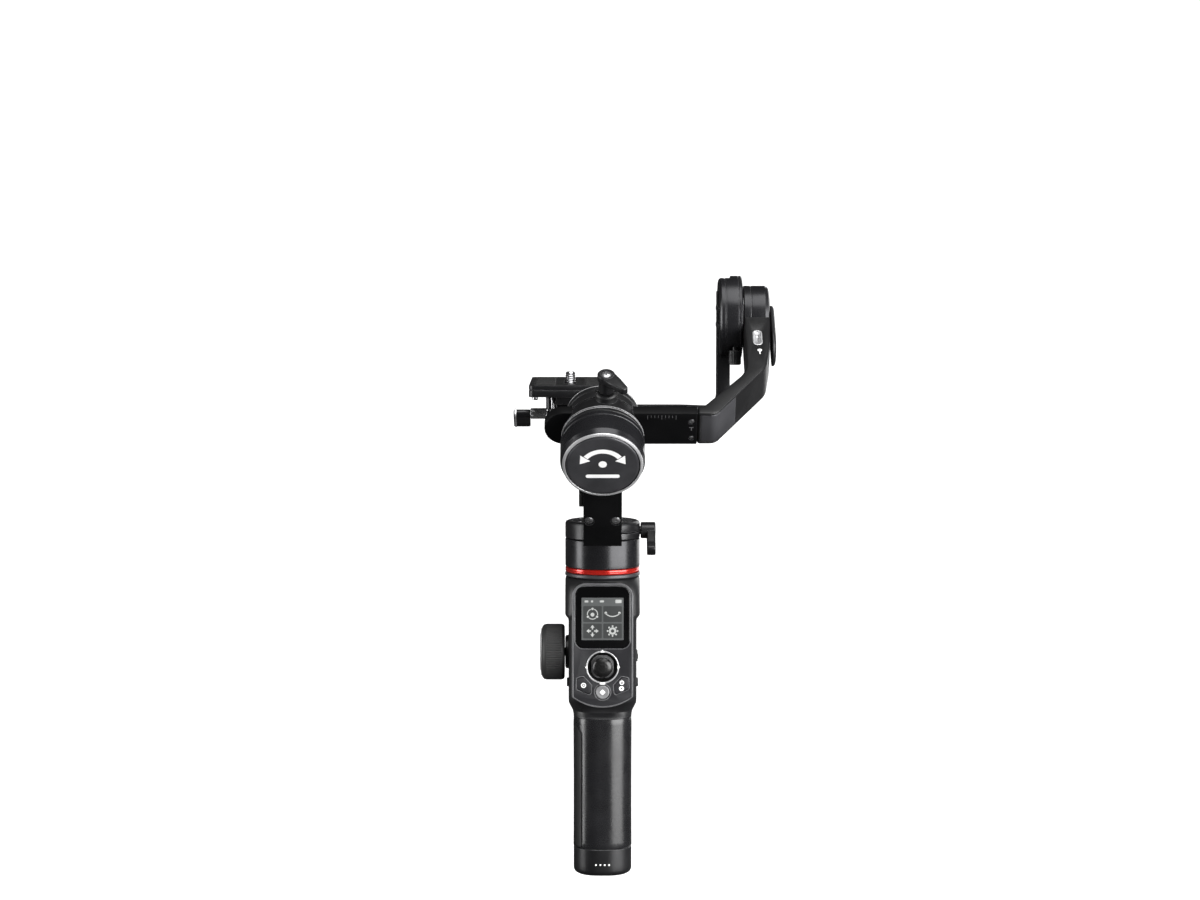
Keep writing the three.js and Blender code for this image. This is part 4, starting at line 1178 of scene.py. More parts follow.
POST_BACK, POST_FRONT = roll_span("roll_post", "Z")
POST_LOW = roll_span("roll_post", "Y")[0]
POST_HALF = roll_span("roll_post", "X")[1]
SCREW_UP = sum(roll_span("post_screw_1", "Y")) / 2
SCREW_X = sum(roll_span("post_screw_2", "X")) / 2
STATOR = roll_span("roll_housing", "X")[1]
JOINT_AT, RIM_AT = roll_span("roll_housing", "Z")
CAP_FRONT = roll_span("roll_cap", "Z")[1]
CAP_RADIUS = roll_span("roll_cap", "X")[1]
BAR_BACK, BAR_FRONT = roll_span("cross_arm", "Z")
BAR_LEFT, BAR_RIGHT = roll_span("cross_arm", "X")
BAR_HALF = roll_span("cross_arm", "Y")[1]
ROLL_BACK = roll_span("roll_clamp", "Z")[0]


def side_point(up, along):
    """A point of roll space on the middle plane, as the object's own (y, z)."""
    p = ROLL_SPACE @ Vector((0, up, along))
    return p.y, p.z


def at_height(along, z):
    up = (z - AXES_Z - ROLL_SPACE[2][2] * along) / ROLL_SPACE[2][1]
    return side_point(up, along)


def build_pan_arm():
    low = span("pan_slider", "Z")[0]
    high = low + 5.7
    back_end = span("pan_slider", "Y")[1]
    half = span("pan_slider", "X")[1]
    front_face, back_face, top = POST_BACK - 0.3, POST_BACK - 5.3, SCREW_UP + 7.8
    side = [
        (back_end, low), at_height(front_face, low), side_point(top, front_face),
        side_point(top, back_face), at_height(back_face, high), (back_end, high)
    ]
    slider = prism(
        "pan_slide_bar", rounded(side, [0.8, 5, 1.2, 1.2, 7, 0.8], 6), "X", (-half, half)
    )
    cut(slider, prism("slot", rect((-2.6, 2.6), (-40, 12), 2.6), "Z", (low - 1, low + 1.2)))
    soften(slider, 0.5, 3, 40)
    dress(slider, "pan_arm", "black_metal", METAL, "pan_slider")
    ticks = [
        prism(
            "t",
            rect((half - (3.4 if k % 5 else 5.2), half - 1.0), (-20.5 - 2.5 * k, -20.15 - 2.5 * k)),
            "Z", (high - 0.2, high + 0.03)
        ) for k in range(10)
    ]
    dress(join("slide_scale", ticks), "pan_arm", "display", WHITE)

    post = roll_prism(
        "slanted_post", rect((-POST_HALF, POST_HALF), (POST_LOW, -8), 0), "Z",
        (POST_BACK, POST_FRONT)
    )
    cut(post, roll_rod("way", STATOR + 0.15, "Z", (POST_BACK - 5, POST_FRONT + 5), facets=FACETS))
    soften(post, 0.9, 3, 40)
    for x in (-SCREW_X, SCREW_X):
        cut(post, roll_rod("well", 2.9, "Z", (POST_FRONT - 1.3, POST_FRONT + 2), (x, SCREW_UP)))
    dress(post, "pan_arm", "black_metal", POST_SHADE, "roll_post")
    for k, x in enumerate((-SCREW_X, SCREW_X)):
        screw = cross_screw(
            f"post_cross_screw_{k + 1}", 2.5, "Z", (x, SCREW_UP), POST_FRONT - 0.9, 1, ROLL_SPACE
        )
        dress(screw, "pan_arm", "steel", STEEL, f"post_screw_{k + 1}")
    plug = roll_prism(
        "post_port_plug", rect((-41, -30.5), (119.6, 125.4), 1.4), "X",
        (-POST_HALF - 2.5, -POST_HALF + 0.4)
    )
    dress(soften(plug, 0.6, 3, 40), "pan_arm", "black_rubber", RUBBER)


def build_roll_fixed():
    bore = roll_span("roll_rotor", "X")[1] + 0.3
    floor = roll_span("roll_rotor", "Z")[1] + 0.3
    boss = roll_span("roll_stator", "Z")[0] - 0.8
    profile = [
        *near(
            STATOR, JOINT_AT, (-0.6, 0), (0, 0.6), (0, 3.2), (-0.25, 3.4), (-0.25, 3.9), (0, 4.1)
        ), *near(STATOR, RIM_AT, (0, -4.2), (-0.4, -3.2), (-1.1, -1.2), (-2.4, -0.4)),
        *near(CAP_RADIUS, RIM_AT, (0.3, -0.4), (0.3, -2.1)), (3, RIM_AT - 2.1), (3, boss),
        (4.6, boss), (4.6, floor), (bore, floor), (bore, JOINT_AT), (STATOR - 0.6, JOINT_AT)
    ]
    dress(
        lathe("roll_motor_case", profile, space=ROLL_SPACE, fillet=0.15, facets=MOTOR_FACETS),
        "pan_arm", "black_metal", TURNED, "roll_housing"
    )
    trim = near(
        STATOR, RIM_AT, (-2.75, -0.9), (-1.15, -1.0), (-1.35, -0.3), (-2.3, 0.15), (-2.75, 0.15),
        (-2.75, -0.9)
    )
    dress(
        lathe("roll_trim", trim, space=ROLL_SPACE, fillet=0.12, facets=MOTOR_FACETS), "pan_arm",
        "steel", BRIGHT
    )
    r = CAP_RADIUS
    disc = [
        (0, RIM_AT - 2.0), (r, RIM_AT - 2.0),
        *near(r, CAP_FRONT, (0, -0.9), (-0.5, -0.35), (-1.3, -0.1)), (0, CAP_FRONT)
    ]
    dress(
        lathe("roll_disc", disc, space=ROLL_SPACE, fillet=0.2, facets=MOTOR_FACETS), "pan_arm",
        "grey_cover", COVER, "roll_cap"
    )

    def rise(radius):
        """The cap's face at a radius, a hair above its surface."""
        return CAP_FRONT - 0.1 * radius / (r - 1.3) + 0.05

    parts = []
    outer, inner, lift = 13.4, 10.6, 1.5
    swing = arc((0, -lift), outer, 38, 142, 28) + arc((0, -lift), inner, 142, 38, 28)
    parts.append(roll_prism("m", swing, "Z", (CAP_FRONT - 0.6, rise(12))))
    for side in (-1, 1):
        a = math.radians(90 - side * 54)
        tip = Vector((12.0 * math.cos(a), 12.0 * math.sin(a) - lift))
        along = Vector((side * math.sin(a), -side * math.cos(a)))
        across = Vector((math.cos(a), math.sin(a)))
        head = [tip - across * 3.4, tip + across * 3.4, tip + along * 5.2]
        parts.append(roll_prism("m", [tuple(p) for p in head], "Z", (CAP_FRONT - 0.6, rise(12))))
    level = rounded([(-9.5, -8.6), (9.5, -8.6), (9.5, -6.2), (-9.5, -6.2)], 1.1)
    parts.append(roll_prism("m", level, "Z", (CAP_FRONT - 0.6, rise(8))))
    parts.append(roll_rod("m", 2.3, "Z", (CAP_FRONT - 0.6, rise(2)), (0, 1.2)))
    dress(join("roll_mark", parts), "pan_arm", "display", WHITE)


# ---- Roll motor's turning side ----
LOCK_X = roll_span("roll_lever", "X")[0] + 5
LOCK_ALONG = (BAR_BACK + BAR_FRONT) / 2


def build_roll_head():
    rotor = 20.65
    flange = STATOR - 0.5
    profile = [
        (0, ROLL_BACK),
        *near(
            rotor, ROLL_BACK, (-3.4, 0), (-1.2, 0.5), (-0.3, 1.6), (0, 3), (0, 6.3), (-0.3, 6.5),
            (-0.3, 6.9), (0, 7.1)
        ), (rotor, 109.6), (rotor + 0.6, 111.2), (flange - 0.4, 112.4), (flange, 113.0),
        *near(flange, JOINT_AT, (0, -0.9), (-0.5, -0.4)), (0, JOINT_AT - 0.4)
    ]
    body = lathe("roll_clamp_body", profile, space=ROLL_SPACE, fillet=0.2, facets=MOTOR_FACETS)
    boss = lathe(
        "boss", [(0, 14), (6.3, 14), (6.3, 23.6), (5.6, 24.5), (0, 24.5)], "Y",
        (LOCK_X, LOCK_ALONG), ROLL_SPACE, 64, 0.3
    )
    fuse(body, boss)
    slot = roll_prism(
        "slot", rect((-BAR_HALF - 0.3, BAR_HALF + 0.3), (BAR_BACK - 0.3, BAR_FRONT + 0.3), 0.8),
        "X", (-50, 50)
    )
    split = roll_prism(
        "split", rect((10, 30), (LOCK_ALONG - 0.5, LOCK_ALONG + 0.5)), "X", (-50, 50)
    )
    cut(body, slot, split, roll_rod("bore", 2.4, "Y", (5, 40), (LOCK_X, LOCK_ALONG), 32))
    spots = on_circle(14.5, (20, 90, 160, 270))
    for spot in spots:
        cut(body, roll_rod("well", 1.9, "Z", (ROLL_BACK - 1, ROLL_BACK + 1.2), spot, 32))
    soften(body, 0.25, 2, 40)
    dress(body, "roll_head", "black_metal", CAST, "roll_clamp")
    # Thin pale bands at the head's edges: painted highlights where the edges catch the light.
    rings = [
        tube(
            "r", radius - 1, radius + 0.08, "Z", (at, at + wide), space=ROLL_SPACE,
            facets=MOTOR_FACETS, fillet=0.05
        ) for radius, at,
        wide in ((rotor, ROLL_BACK + 2.75, 0.5), (flange, 112.7, 0.45), (flange, 113.9, 0.4))
    ]
    dress(join("roll_edge_highlight_rings", rings), "roll_head", "steel", BRIGHT)
    fit_screws(
        "roll_back_screws", "roll_head", "steel", METAL, spots, 1.6, "Z", ROLL_BACK + 1.1, -1,
        ROLL_SPACE
    )

    top = roll_span("roll_lever", "Y")[1]
    place_at = (LOCK_X, LOCK_ALONG)
    stud = roll_rod("stud", 2.2, "Y", (12.3, 27), place_at, 40)
    hub = lathe(
        "hub",
        [
            (0, 25.0), (4.0, 25.0), (4.5, 25.6), (4.2, 32.2), (5.0, 33.6), (5.0, top - 0.7),
            (4.4, top - 0.1), (0, top - 0.1)
        ], "Y", place_at, ROLL_SPACE, 64, 0.3
    )
    heading = math.degrees(math.atan2(14.5, 11.9))
    paddle = rounded(
        [(0, -4.6), (8, -3.7), (17.2, -1.9), (17.2, 1.9), (8, 3.7), (0, 4.6)],
        [0, 12, 1.8, 1.8, 12, 0], 5
    )
    blade = roll_prism("blade", turned(paddle, heading, place_at), "Y", (top - 4.3, top - 0.25))
    lever = fuse(soften(blade, 0.7, 3, 40), stud, hub)
    cut(lever, roll_rod("well", 3.3, "Y", (top - 1.1, top + 2), place_at, 48))
    dress(lever, "roll_lock", "black_metal", METAL, "roll_lever")
    screw = cross_screw("roll_lever_screw", 3.0, "Y", place_at, top - 0.9, 1, ROLL_SPACE)
    dress(screw, "roll_lock", "steel", STEEL)


# ---- Cross arm ----
def build_cross_arm():
    centre = BAR_LEFT + BAR_HALF
    outline = arc((centre, 0), BAR_HALF, 90, 270, 32) + [
        (BAR_RIGHT, -BAR_HALF), (BAR_RIGHT, BAR_HALF)
    ]
    bar = roll_prism("cross_bar", outline, "Z", (BAR_BACK, BAR_FRONT))
    slot = roll_prism(
        "slot", rect((BAR_RIGHT - 44, BAR_RIGHT - 8), (-2, 2), 2), "Z",
        (BAR_BACK - 1, BAR_BACK + 1.4)
    )
    cut(bar, slot)
    soften(bar, 0.8, 3, 40)
    wells = [((BAR_RIGHT - 3.2, 5.0), 1.75), ((BAR_RIGHT - 3.2, -6.6), 1.45)]
    for spot, radius in wells:
        cut(bar, roll_rod("well", radius, "Z", (BAR_FRONT - 1.0, BAR_FRONT + 1), spot, 32))
    dress(bar, "arm", "black_metal", POST_SHADE, "cross_arm")
    screws = [
        cross_screw("s", radius - 0.2, "Z", spot, BAR_FRONT - 0.7, 1, ROLL_SPACE) for spot,
        radius in wells
    ]
    dress(join("bar_screws", screws), "arm", "steel", STEEL)
    printed = (BAR_FRONT - 0.2, BAR_FRONT + 0.03)
    marks = [roll_prism("m", rect((BAR_RIGHT - 4.4, BAR_RIGHT - 2.0), (0.8, 1.3)), "Z", printed),
             roll_prism("m", rect((BAR_RIGHT - 3.45, BAR_RIGHT - 2.95), (-1.2, 1.3)), "Z", printed)]
    for k in range(9):
        x = BAR_RIGHT - 12 - 2.0 * k
        length = 1.8 if k % 4 else 2.8
        marks.append(
            roll_prism(
                "m", rect((x - 0.12, x + 0.12), (BAR_HALF - 1.6 - length, BAR_HALF - 1.6)), "Z",
                (BAR_FRONT - 0.2, BAR_FRONT + 0.02)
            )
        )
    dress(join("bar_scale", marks), "arm", "grey_cover", RIM)


MOTOR_LEFT, MOTOR_RIGHT = roll_span("tilt_housing", "X")
MOTOR_RADIUS = roll_span("tilt_housing", "Y")[1]


def arm_path():
    """The casting's outline seen down the post: (across, along the roll axis)."""
    start = BAR_RIGHT + 0.25
    corners = [
        (start, BAR_FRONT, 0), (64.0, BAR_FRONT, 7), (94.3, 61.2, 18), (97.1, 42, 20),
        (98.5, 14, 0), (MOTOR_LEFT, 14, 0), (MOTOR_LEFT, 65.5, 22), (56.8, BAR_BACK, 7),
        (start, BAR_BACK, 0)
    ]
    return rounded([(x, z) for x, z, _ in corners], [r for _, _, r in corners], 14)


def strip(depth, first, last):
    """A strip on the casting's outer face, between two distances along it, depth thick."""
    corners = rounded(
        [(BAR_RIGHT + 0.25, BAR_FRONT), (64.0, BAR_FRONT), (94.3, 61.2)], [0, 7, 0], 14,
        closed=False
    )
    points = [Vector(p) for p in corners]
    dense = []
    for a, b in zip(points, points[1:]):
        steps = max(1, int((b - a).length / 1.5))
        dense += [a.lerp(b, k / steps) for k in range(steps)]
    dense.append(points[-1])
    walked, kept = 0.0, []
    for a, b in zip(dense, dense[1:]):
        if first <= walked <= last:
            kept.append((a, (b - a).normalized()))
        walked += (b - a).length
    outer = [tuple(p + Vector((-d.y, d.x)) * depth[1]) for p, d in kept]
    inner = [tuple(p - Vector((-d.y, d.x)) * depth[0]) for p, d in kept]
    return outer + inner[::-1]


def build_arm():
    half = BAR_HALF
    casting = roll_prism("arm_cast", arm_path(), "Y", (-half, half))
    soften(casting, 1.3, 4, 50)
    cut(
        casting,
        roll_rod("way", MOTOR_RADIUS + 0.12, "X", (MOTOR_LEFT - 5, MOTOR_RIGHT + 5), facets=FACETS)
    )
    pocket = roll_prism("pocket", strip((1.1, 3), 1.2, 31.5), "Y", (-half + 1.7, half - 1.7))
    cut(casting, pocket)
    port_x, port_along = (87.2, 93.0), (27.6, 41.8)
    cut(casting, roll_prism("port", rect(port_x, port_along, 2.7), "Y", (half - 2.6, half + 1)))
    soften(casting, 0.2, 2, 40)
    dress(casting, "arm", "black_metal", CAST, "arm_casting")
    tenon = roll_prism(
        "arm_tenon", rect((BAR_RIGHT - 3, BAR_RIGHT + 3), (BAR_BACK + 1, BAR_FRONT - 1)), "Y",
        (-half + 1, half - 1)
    )
    dress(tenon, "arm", "black_metal", CAST)
    lid = roll_prism("arm_inlay", strip((1.0, -0.02), 1.5, 31.2), "Y", (-half + 1.95, half - 1.95))
    dress(soften(lid, 0.35, 3, 50), "arm", "grey_cover", COVER, "arm_cover")
    x_mid, along_mid = sum(port_x) / 2, sum(port_along) / 2
    rim = roll_prism(
        "port_rim",
        rect(
            (port_x[0] + 0.15, port_x[1] - 0.15), (port_along[0] + 0.15, port_along[1] - 0.15), 2.5
        ), "Y", (half - 1.6, half + 0.15)
    )
    cut(
        rim,
        roll_prism(
            "in",
            rect(
                (port_x[0] + 0.9, port_x[1] - 0.9), (port_along[0] + 0.9, port_along[1] - 0.9), 1.8
            ), "Y", (half - 0.6, half + 2)
        )
    )
    cut(
        rim,
        roll_prism(
            "slot", rect((x_mid - 0.7, x_mid + 0.7), (along_mid - 4, along_mid + 4), 0.7), "Y",
            (half - 1.4, half + 2)
        )
    )
    dress(soften(rim, 0.15, 2, 40), "arm", "steel", BRIGHT)
    mark = [
        roll_prism(
            "m", arc((x_mid + 0.8, 46.6), 1.3, 0, 360, 20)[:-1], "Y", (half - 0.4, half + 0.03)
        ),
        roll_prism(
            "m", rect((x_mid + 0.5, x_mid + 1.1), (47.5, 50.2)), "Y", (half - 0.4, half + 0.03)
        )
    ]
    dress(join("port_mark", mark), "arm", "display", WHITE)

    bore = span("tilt_rotor", "Y")[1] + 0.3
    floor = span("tilt_rotor", "X")[1] + 0.3
    boss = roll_span("tilt_stator", "X")[0] - 2
    case = [
        *near(
            MOTOR_RADIUS, MOTOR_LEFT, (-0.7, 0.1), (0, 0.8), (0, 4.4), (-0.25, 4.6), (-0.25, 5.1),
            (0, 5.3)
        ), *near(MOTOR_RADIUS, MOTOR_RIGHT, (0, -2.9), (-0.8, -1), (-2.8, -0.2)),
        (2.6, MOTOR_RIGHT - 0.2), (2.6, boss), (4.4, boss), (4.4, floor), (bore, floor),
        (bore, MOTOR_LEFT + 0.1), (MOTOR_RADIUS - 0.7, MOTOR_LEFT + 0.1)
    ]
    dress(
        lathe("tilt_motor_case", case, "X", (0, 0), ROLL_SPACE, MOTOR_FACETS, 0.15), "arm",
        "black_metal", TURNED, "tilt_housing"
    )
    build_tilt_cover()


def build_tilt_cover():
    """A domed, pill-shaped cover over the motor's end and the top of the arm."""
    x0, x1 = roll_span("tilt_cover", "X")
    low, high = roll_span("tilt_cover", "Z")
    half = roll_span("tilt_cover", "Y")[1]

    def ring(x, inset):
        r = half - inset
        points = arc((0, high - half), r, 0, 180, 36) + arc((0, low + half), r, 180, 360, 36)
        return [(x, y, z) for y, z in points]

    steps = [
        (0, 0.35), (0.14, 0), (0.4, 0.1), (0.62, 0.5), (0.8, 1.2), (0.9, 2.2), (0.96, 3.8),
        (0.99, 5.6), (1, 7.5)
    ]
    cover = loft(
        "tilt_end_cover", [ring(x0 + part * (x1 - x0), inset) for part, inset in steps], ROLL_SPACE
    )
    disc_radius = 4.8
    cut(
        cover,
        roll_rod("groove_out", disc_radius + 0.2, "X", (x1 - 0.35, x1 + 1), (0, high - half), 60)
    )
    face = [
        (0, x1 - 0.5), (disc_radius, x1 - 0.5), (disc_radius, x1 - 0.12),
        (disc_radius - 0.4, x1 - 0.02), (0, x1 - 0.02)
    ]
    disc = lathe("tilt_end_disc", face, "X", (0, high - half), ROLL_SPACE, 96, 0.1)
    soften(cover, 0.12, 2, 50)
    dress(cover, "arm", "black_shell", SHELL, "tilt_cover")
    dress(disc, "arm", "grey_cover", COVER)


# ---- Tilt side and camera plate ----
CLAMP_LEFT, CLAMP_RIGHT = span("tilt_clamp", "X")
CLAMP_RADIUS = span("tilt_clamp", "Y")[1]
ARM_RIGHT = span("tilt_arm", "X")[1]
SHELF_LEFT, ARM_BOTTOM, ARM_TOP = span("tilt_arm", "X")[0], *span("tilt_arm", "Z")
ARM_LEFT = ARM_RIGHT - 7.7
BRACKET_HALF = 8
SHELF_TOP = span("plate_receiver", "Z")[0] - 0.3
SEAT_Z = span("quick_release_plate", "Z")[1]


def build_tilt_head():
    r = CLAMP_RADIUS
    profile = [
        (0, CLAMP_LEFT),
        *near(
            r, CLAMP_LEFT, (-2.2, 0), (-0.9, 0.5), (0, 1.5), (0, 3.6), (-0.3, 3.8), (-0.3, 4.3),
            (0, 4.5)
        ),
        *near(
            r, CLAMP_RIGHT, (0, -2.6), (-0.3, -2.4), (-0.3, -2.0), (0, -1.8), (0, -0.9),
            (-0.7, -0.1)
        ), (0, CLAMP_RIGHT - 0.1)
    ]
    barrel = lathe("tilt_barrel", profile, "X", (0, AXES_Z), fillet=0.15, facets=MOTOR_FACETS)
    channel = prism(
        "channel",
        rect((CLAMP_LEFT - 5, ARM_RIGHT + 0.3), (-BRACKET_HALF - 0.3, BRACKET_HALF + 0.3), 0.4),
        "Z", (AXES_Z - 40, AXES_Z + 40)
    )
    kx, ky = [sum(span("tilt_knob", a)) / 2 for a in "XY"]
    seat = rod("seat", 4.1, "Z", (AXES_Z - 40, AXES_Z - 18.7), (kx, ky), facets=48)
    cut(
        barrel, channel, seat,
        rod("bore", 1.9, "Z", (AXES_Z - 40, AXES_Z - 10), (kx, ky), facets=32)
    )
    soften(barrel, 0.2, 2, 40)
    dress(barrel, "tilt_head", "black_metal", TURNED, "tilt_clamp")
    spots = on_circle(19.0, (15, 165, 195, 345), (0, AXES_Z))
    fit_screws("tilt_screws", "tilt_head", "steel", METAL, spots, 1.7, "X", CLAMP_LEFT - 0.05, -1)
    z0, z1 = span("tilt_knob", "Z")
    head_top = z0 + 8.4
    rings = []
    for z, r in (
        (z0, 3.0), (z0 + 0.5, 3.5), (z0 + 0.9, 3.6), (head_top - 0.6, 3.6), (head_top - 0.2, 3.4),
        (head_top, 3.0)
    ):
        knurl = 0.22 if 3.55 < r else 0.0
        rings.append(
            [
                (
                    kx + (r - knurl * (k % 4 > 1)) * math.cos(TURN * k / 96),
                    ky + (r - knurl * (k % 4 > 1)) * math.sin(TURN * k / 96), z
                ) for k in range(96)
            ]
        )
    knob = loft("tilt_lock_knob", rings)
    fuse(knob, rod("shaft", 1.6, "Z", (head_top - 1, z1), (kx, ky), facets=32))
    dress(knob, "tilt_lock", "black_metal", METAL, "tilt_knob")


def build_camera_arm():
    low, top, shelf = ARM_BOTTOM, ARM_TOP, SHELF_TOP
    side = [
        (SHELF_LEFT, low), (ARM_RIGHT, low), (ARM_RIGHT, top), (ARM_LEFT, top), (ARM_LEFT, shelf),
        (SHELF_LEFT, shelf)
    ]
    arm = prism("camera_bracket", rounded(side, [3, 9, 1.5, 1.5, 7, 1], 8), "Y", (-18, 18))
    plan = [(SHELF_LEFT, -18), (48, -18), (64, -BRACKET_HALF), (ARM_RIGHT + 1, -BRACKET_HALF),
            (ARM_RIGHT + 1, BRACKET_HALF), (64, BRACKET_HALF), (48, 18), (SHELF_LEFT, 18)]
    combine(
        arm, prism("plan", rounded(plan, [4, 18, 5, 0, 0, 5, 18, 4], 8), "Z", (low - 5, top + 5)),
        "INTERSECT"
    )
    y_lock, z_lock = (joint("plate_lock_turn")["pos_m"][k] / MM for k in (1, 2))
    cut(
        arm, rod("bore", 1.95, "X", (SHELF_LEFT - 5, SHELF_LEFT + 10), (y_lock, z_lock), facets=32),
        prism("pocket", rect((16, 50), (-8, 8), 3), "Z", (shelf - 1.6, shelf + 1)),
        prism(
            "slot", rect((-2.4, 2.4), (shelf + 16, top - 8), 2.4), "X",
            (ARM_LEFT - 1, ARM_LEFT + 2.2)
        ), prism("under", rect((-24, 60), (-11, 11), 4), "Z", (low - 1, low + 1.4))
    )
    soften(arm, 0.7, 3, 40)
    dress(arm, "camera_arm", "black_metal", METAL, "tilt_arm")
    ticks = [
        prism(
            "t",
            rect((4.6 if k % 5 else 3.6, 6.8), (AXES_Z - 22 + 2.5 * k, AXES_Z - 21.7 + 2.5 * k)),
            "X", (ARM_LEFT - 0.03, ARM_LEFT + 0.2)
        ) for k in range(14)
    ]
    dress(join("bracket_scale", ticks), "camera_arm", "display", WHITE)

    x0, x1 = span("plate_receiver", "X")
    y0, y1 = span("plate_receiver", "Y")
    z0, z1 = span("plate_receiver", "Z")
    mid = sum(span("quick_release_plate", "X")) / 2
    groove_z = span("quick_release_plate", "Z")[0] - 0.5
    body = prism(
        "plate_clamp", rounded([(x0, y0), (x1, y0), (x1, y1), (x0, y1)], 3, 8), "Z", (z0, z1)
    )
    groove = [
        (mid - 9.6, groove_z), (mid + 9.6, groove_z), (mid + 7.6, SEAT_Z - 5),
        (mid - 7.6, SEAT_Z - 5)
    ]
    cut(
        body, prism("groove", groove, "Y", (-80, 80)),
        prism("split", rect((x0 + 2.2, x0 + 2.8), (z0 + 1.4, z1 + 1)), "Y", (-80, 80)),
        prism("window", rect((mid - 7, mid + 7), (-18, 14), 4), "Z", (groove_z - 1.2, groove_z + 3))
    )
    soften(body, 0.6, 3, 40)
    dress(body, "camera_arm", "black_metal", METAL, "plate_receiver")
    pin = lathe(
        "plate_stop_pin",
        [
            (0, z0 + 0.6), (0.7, z0 + 0.6), (0.95, z0 + 0.9), (0.95, z1 - 1.6), (1.3, z1 - 1.4),
            (1.3, z1 - 0.4), (0, z1 - 0.4)
        ], "Z", (mid - 10, y0 - 1.4), fillet=0.15, facets=32
    )
    dress(pin, "camera_arm", "steel", STEEL)
    block = prism(
        "plate_stop_block", rect((mid - 8.2, mid - 0.8), (y0 - 2.6, y0 - 0.05), 0.8), "Z",
        (z0 + 0.4, z1 - 0.3)
    )
    dress(soften(block, 0.5, 3, 40), "camera_arm", "black_metal", METAL)
    spots = [(mid + x, y) for x in (-5, 5) for y in (-12, 8)]
    fit_screws("clamp_bolts", "camera_arm", "steel", STEEL, spots, 1.9, "Z", groove_z - 1.3, 1)


def build_plate_lever():
    y, z = (joint("plate_lock_turn")["pos_m"][k] / MM for k in (1, 2))
    x0, x1 = span("plate_lever", "X")
    hub_right = x0 + 9.9
    nut_left, nut_right = hub_right + 0.1, SHELF_LEFT - 0.5
    rings = []
    for x, r in ((nut_left, 2.8), (nut_left + 0.4, 3.2), (nut_right - 0.4, 3.2), (nut_right, 2.8)):
        knurl = 0.3 if r > 3 else 0
        rings.append([(x, y + (r - knurl * (k % 4 > 1)) * math.cos(TURN * k / 72),
                       z + (r - knurl * (k % 4 > 1)) * math.sin(TURN * k / 72)) for k in range(72)])
    nut = loft("plate_lever_nut", rings)
    fuse(nut, rod("stud", 1.65, "X", (nut_right - 1, x1), (y, z), facets=32))
    dress(nut, "plate_lock", "steel", STEEL)
    paddle = [
        (-2.6, 2.2), (2.6, 2.2), (2.4, -8), (3.0, -12.6), (2.0, -14), (-2.0, -14), (-3.0, -12.6),
        (-2.4, -8)
    ]
    blade = prism(
        "plate_lever_paddle",
        turned(rounded(paddle, [2.5, 2.5, 8, 1.5, 1.5, 1.5, 1.5, 8], 5), 62, (y, z)), "X",
        (x0 + 0.05, hub_right)
    )
    soften(blade, 0.6, 3, 40)
    cut(blade, tube("ring", 1.5, 1.9, "X", (x0 - 1, x0 + 0.4), (y, z), facets=40))
    dress(blade, "plate_lock", "black_metal", METAL, "plate_lever")
    # A pale band just outside the paddle's outline: a painted highlight along the lever's edge.
    line = [(y + 1.04 * (v - y), z + 1.04 * (w - z)) for v, w in turned(paddle, 62, (y, z))]
    dress(
        prism("plate_lever_edge_highlight", rounded(line, 1.3), "X", (x0 + 0.8, x0 + 1.7)), "plate_lock",
        "steel", BRIGHT
    )


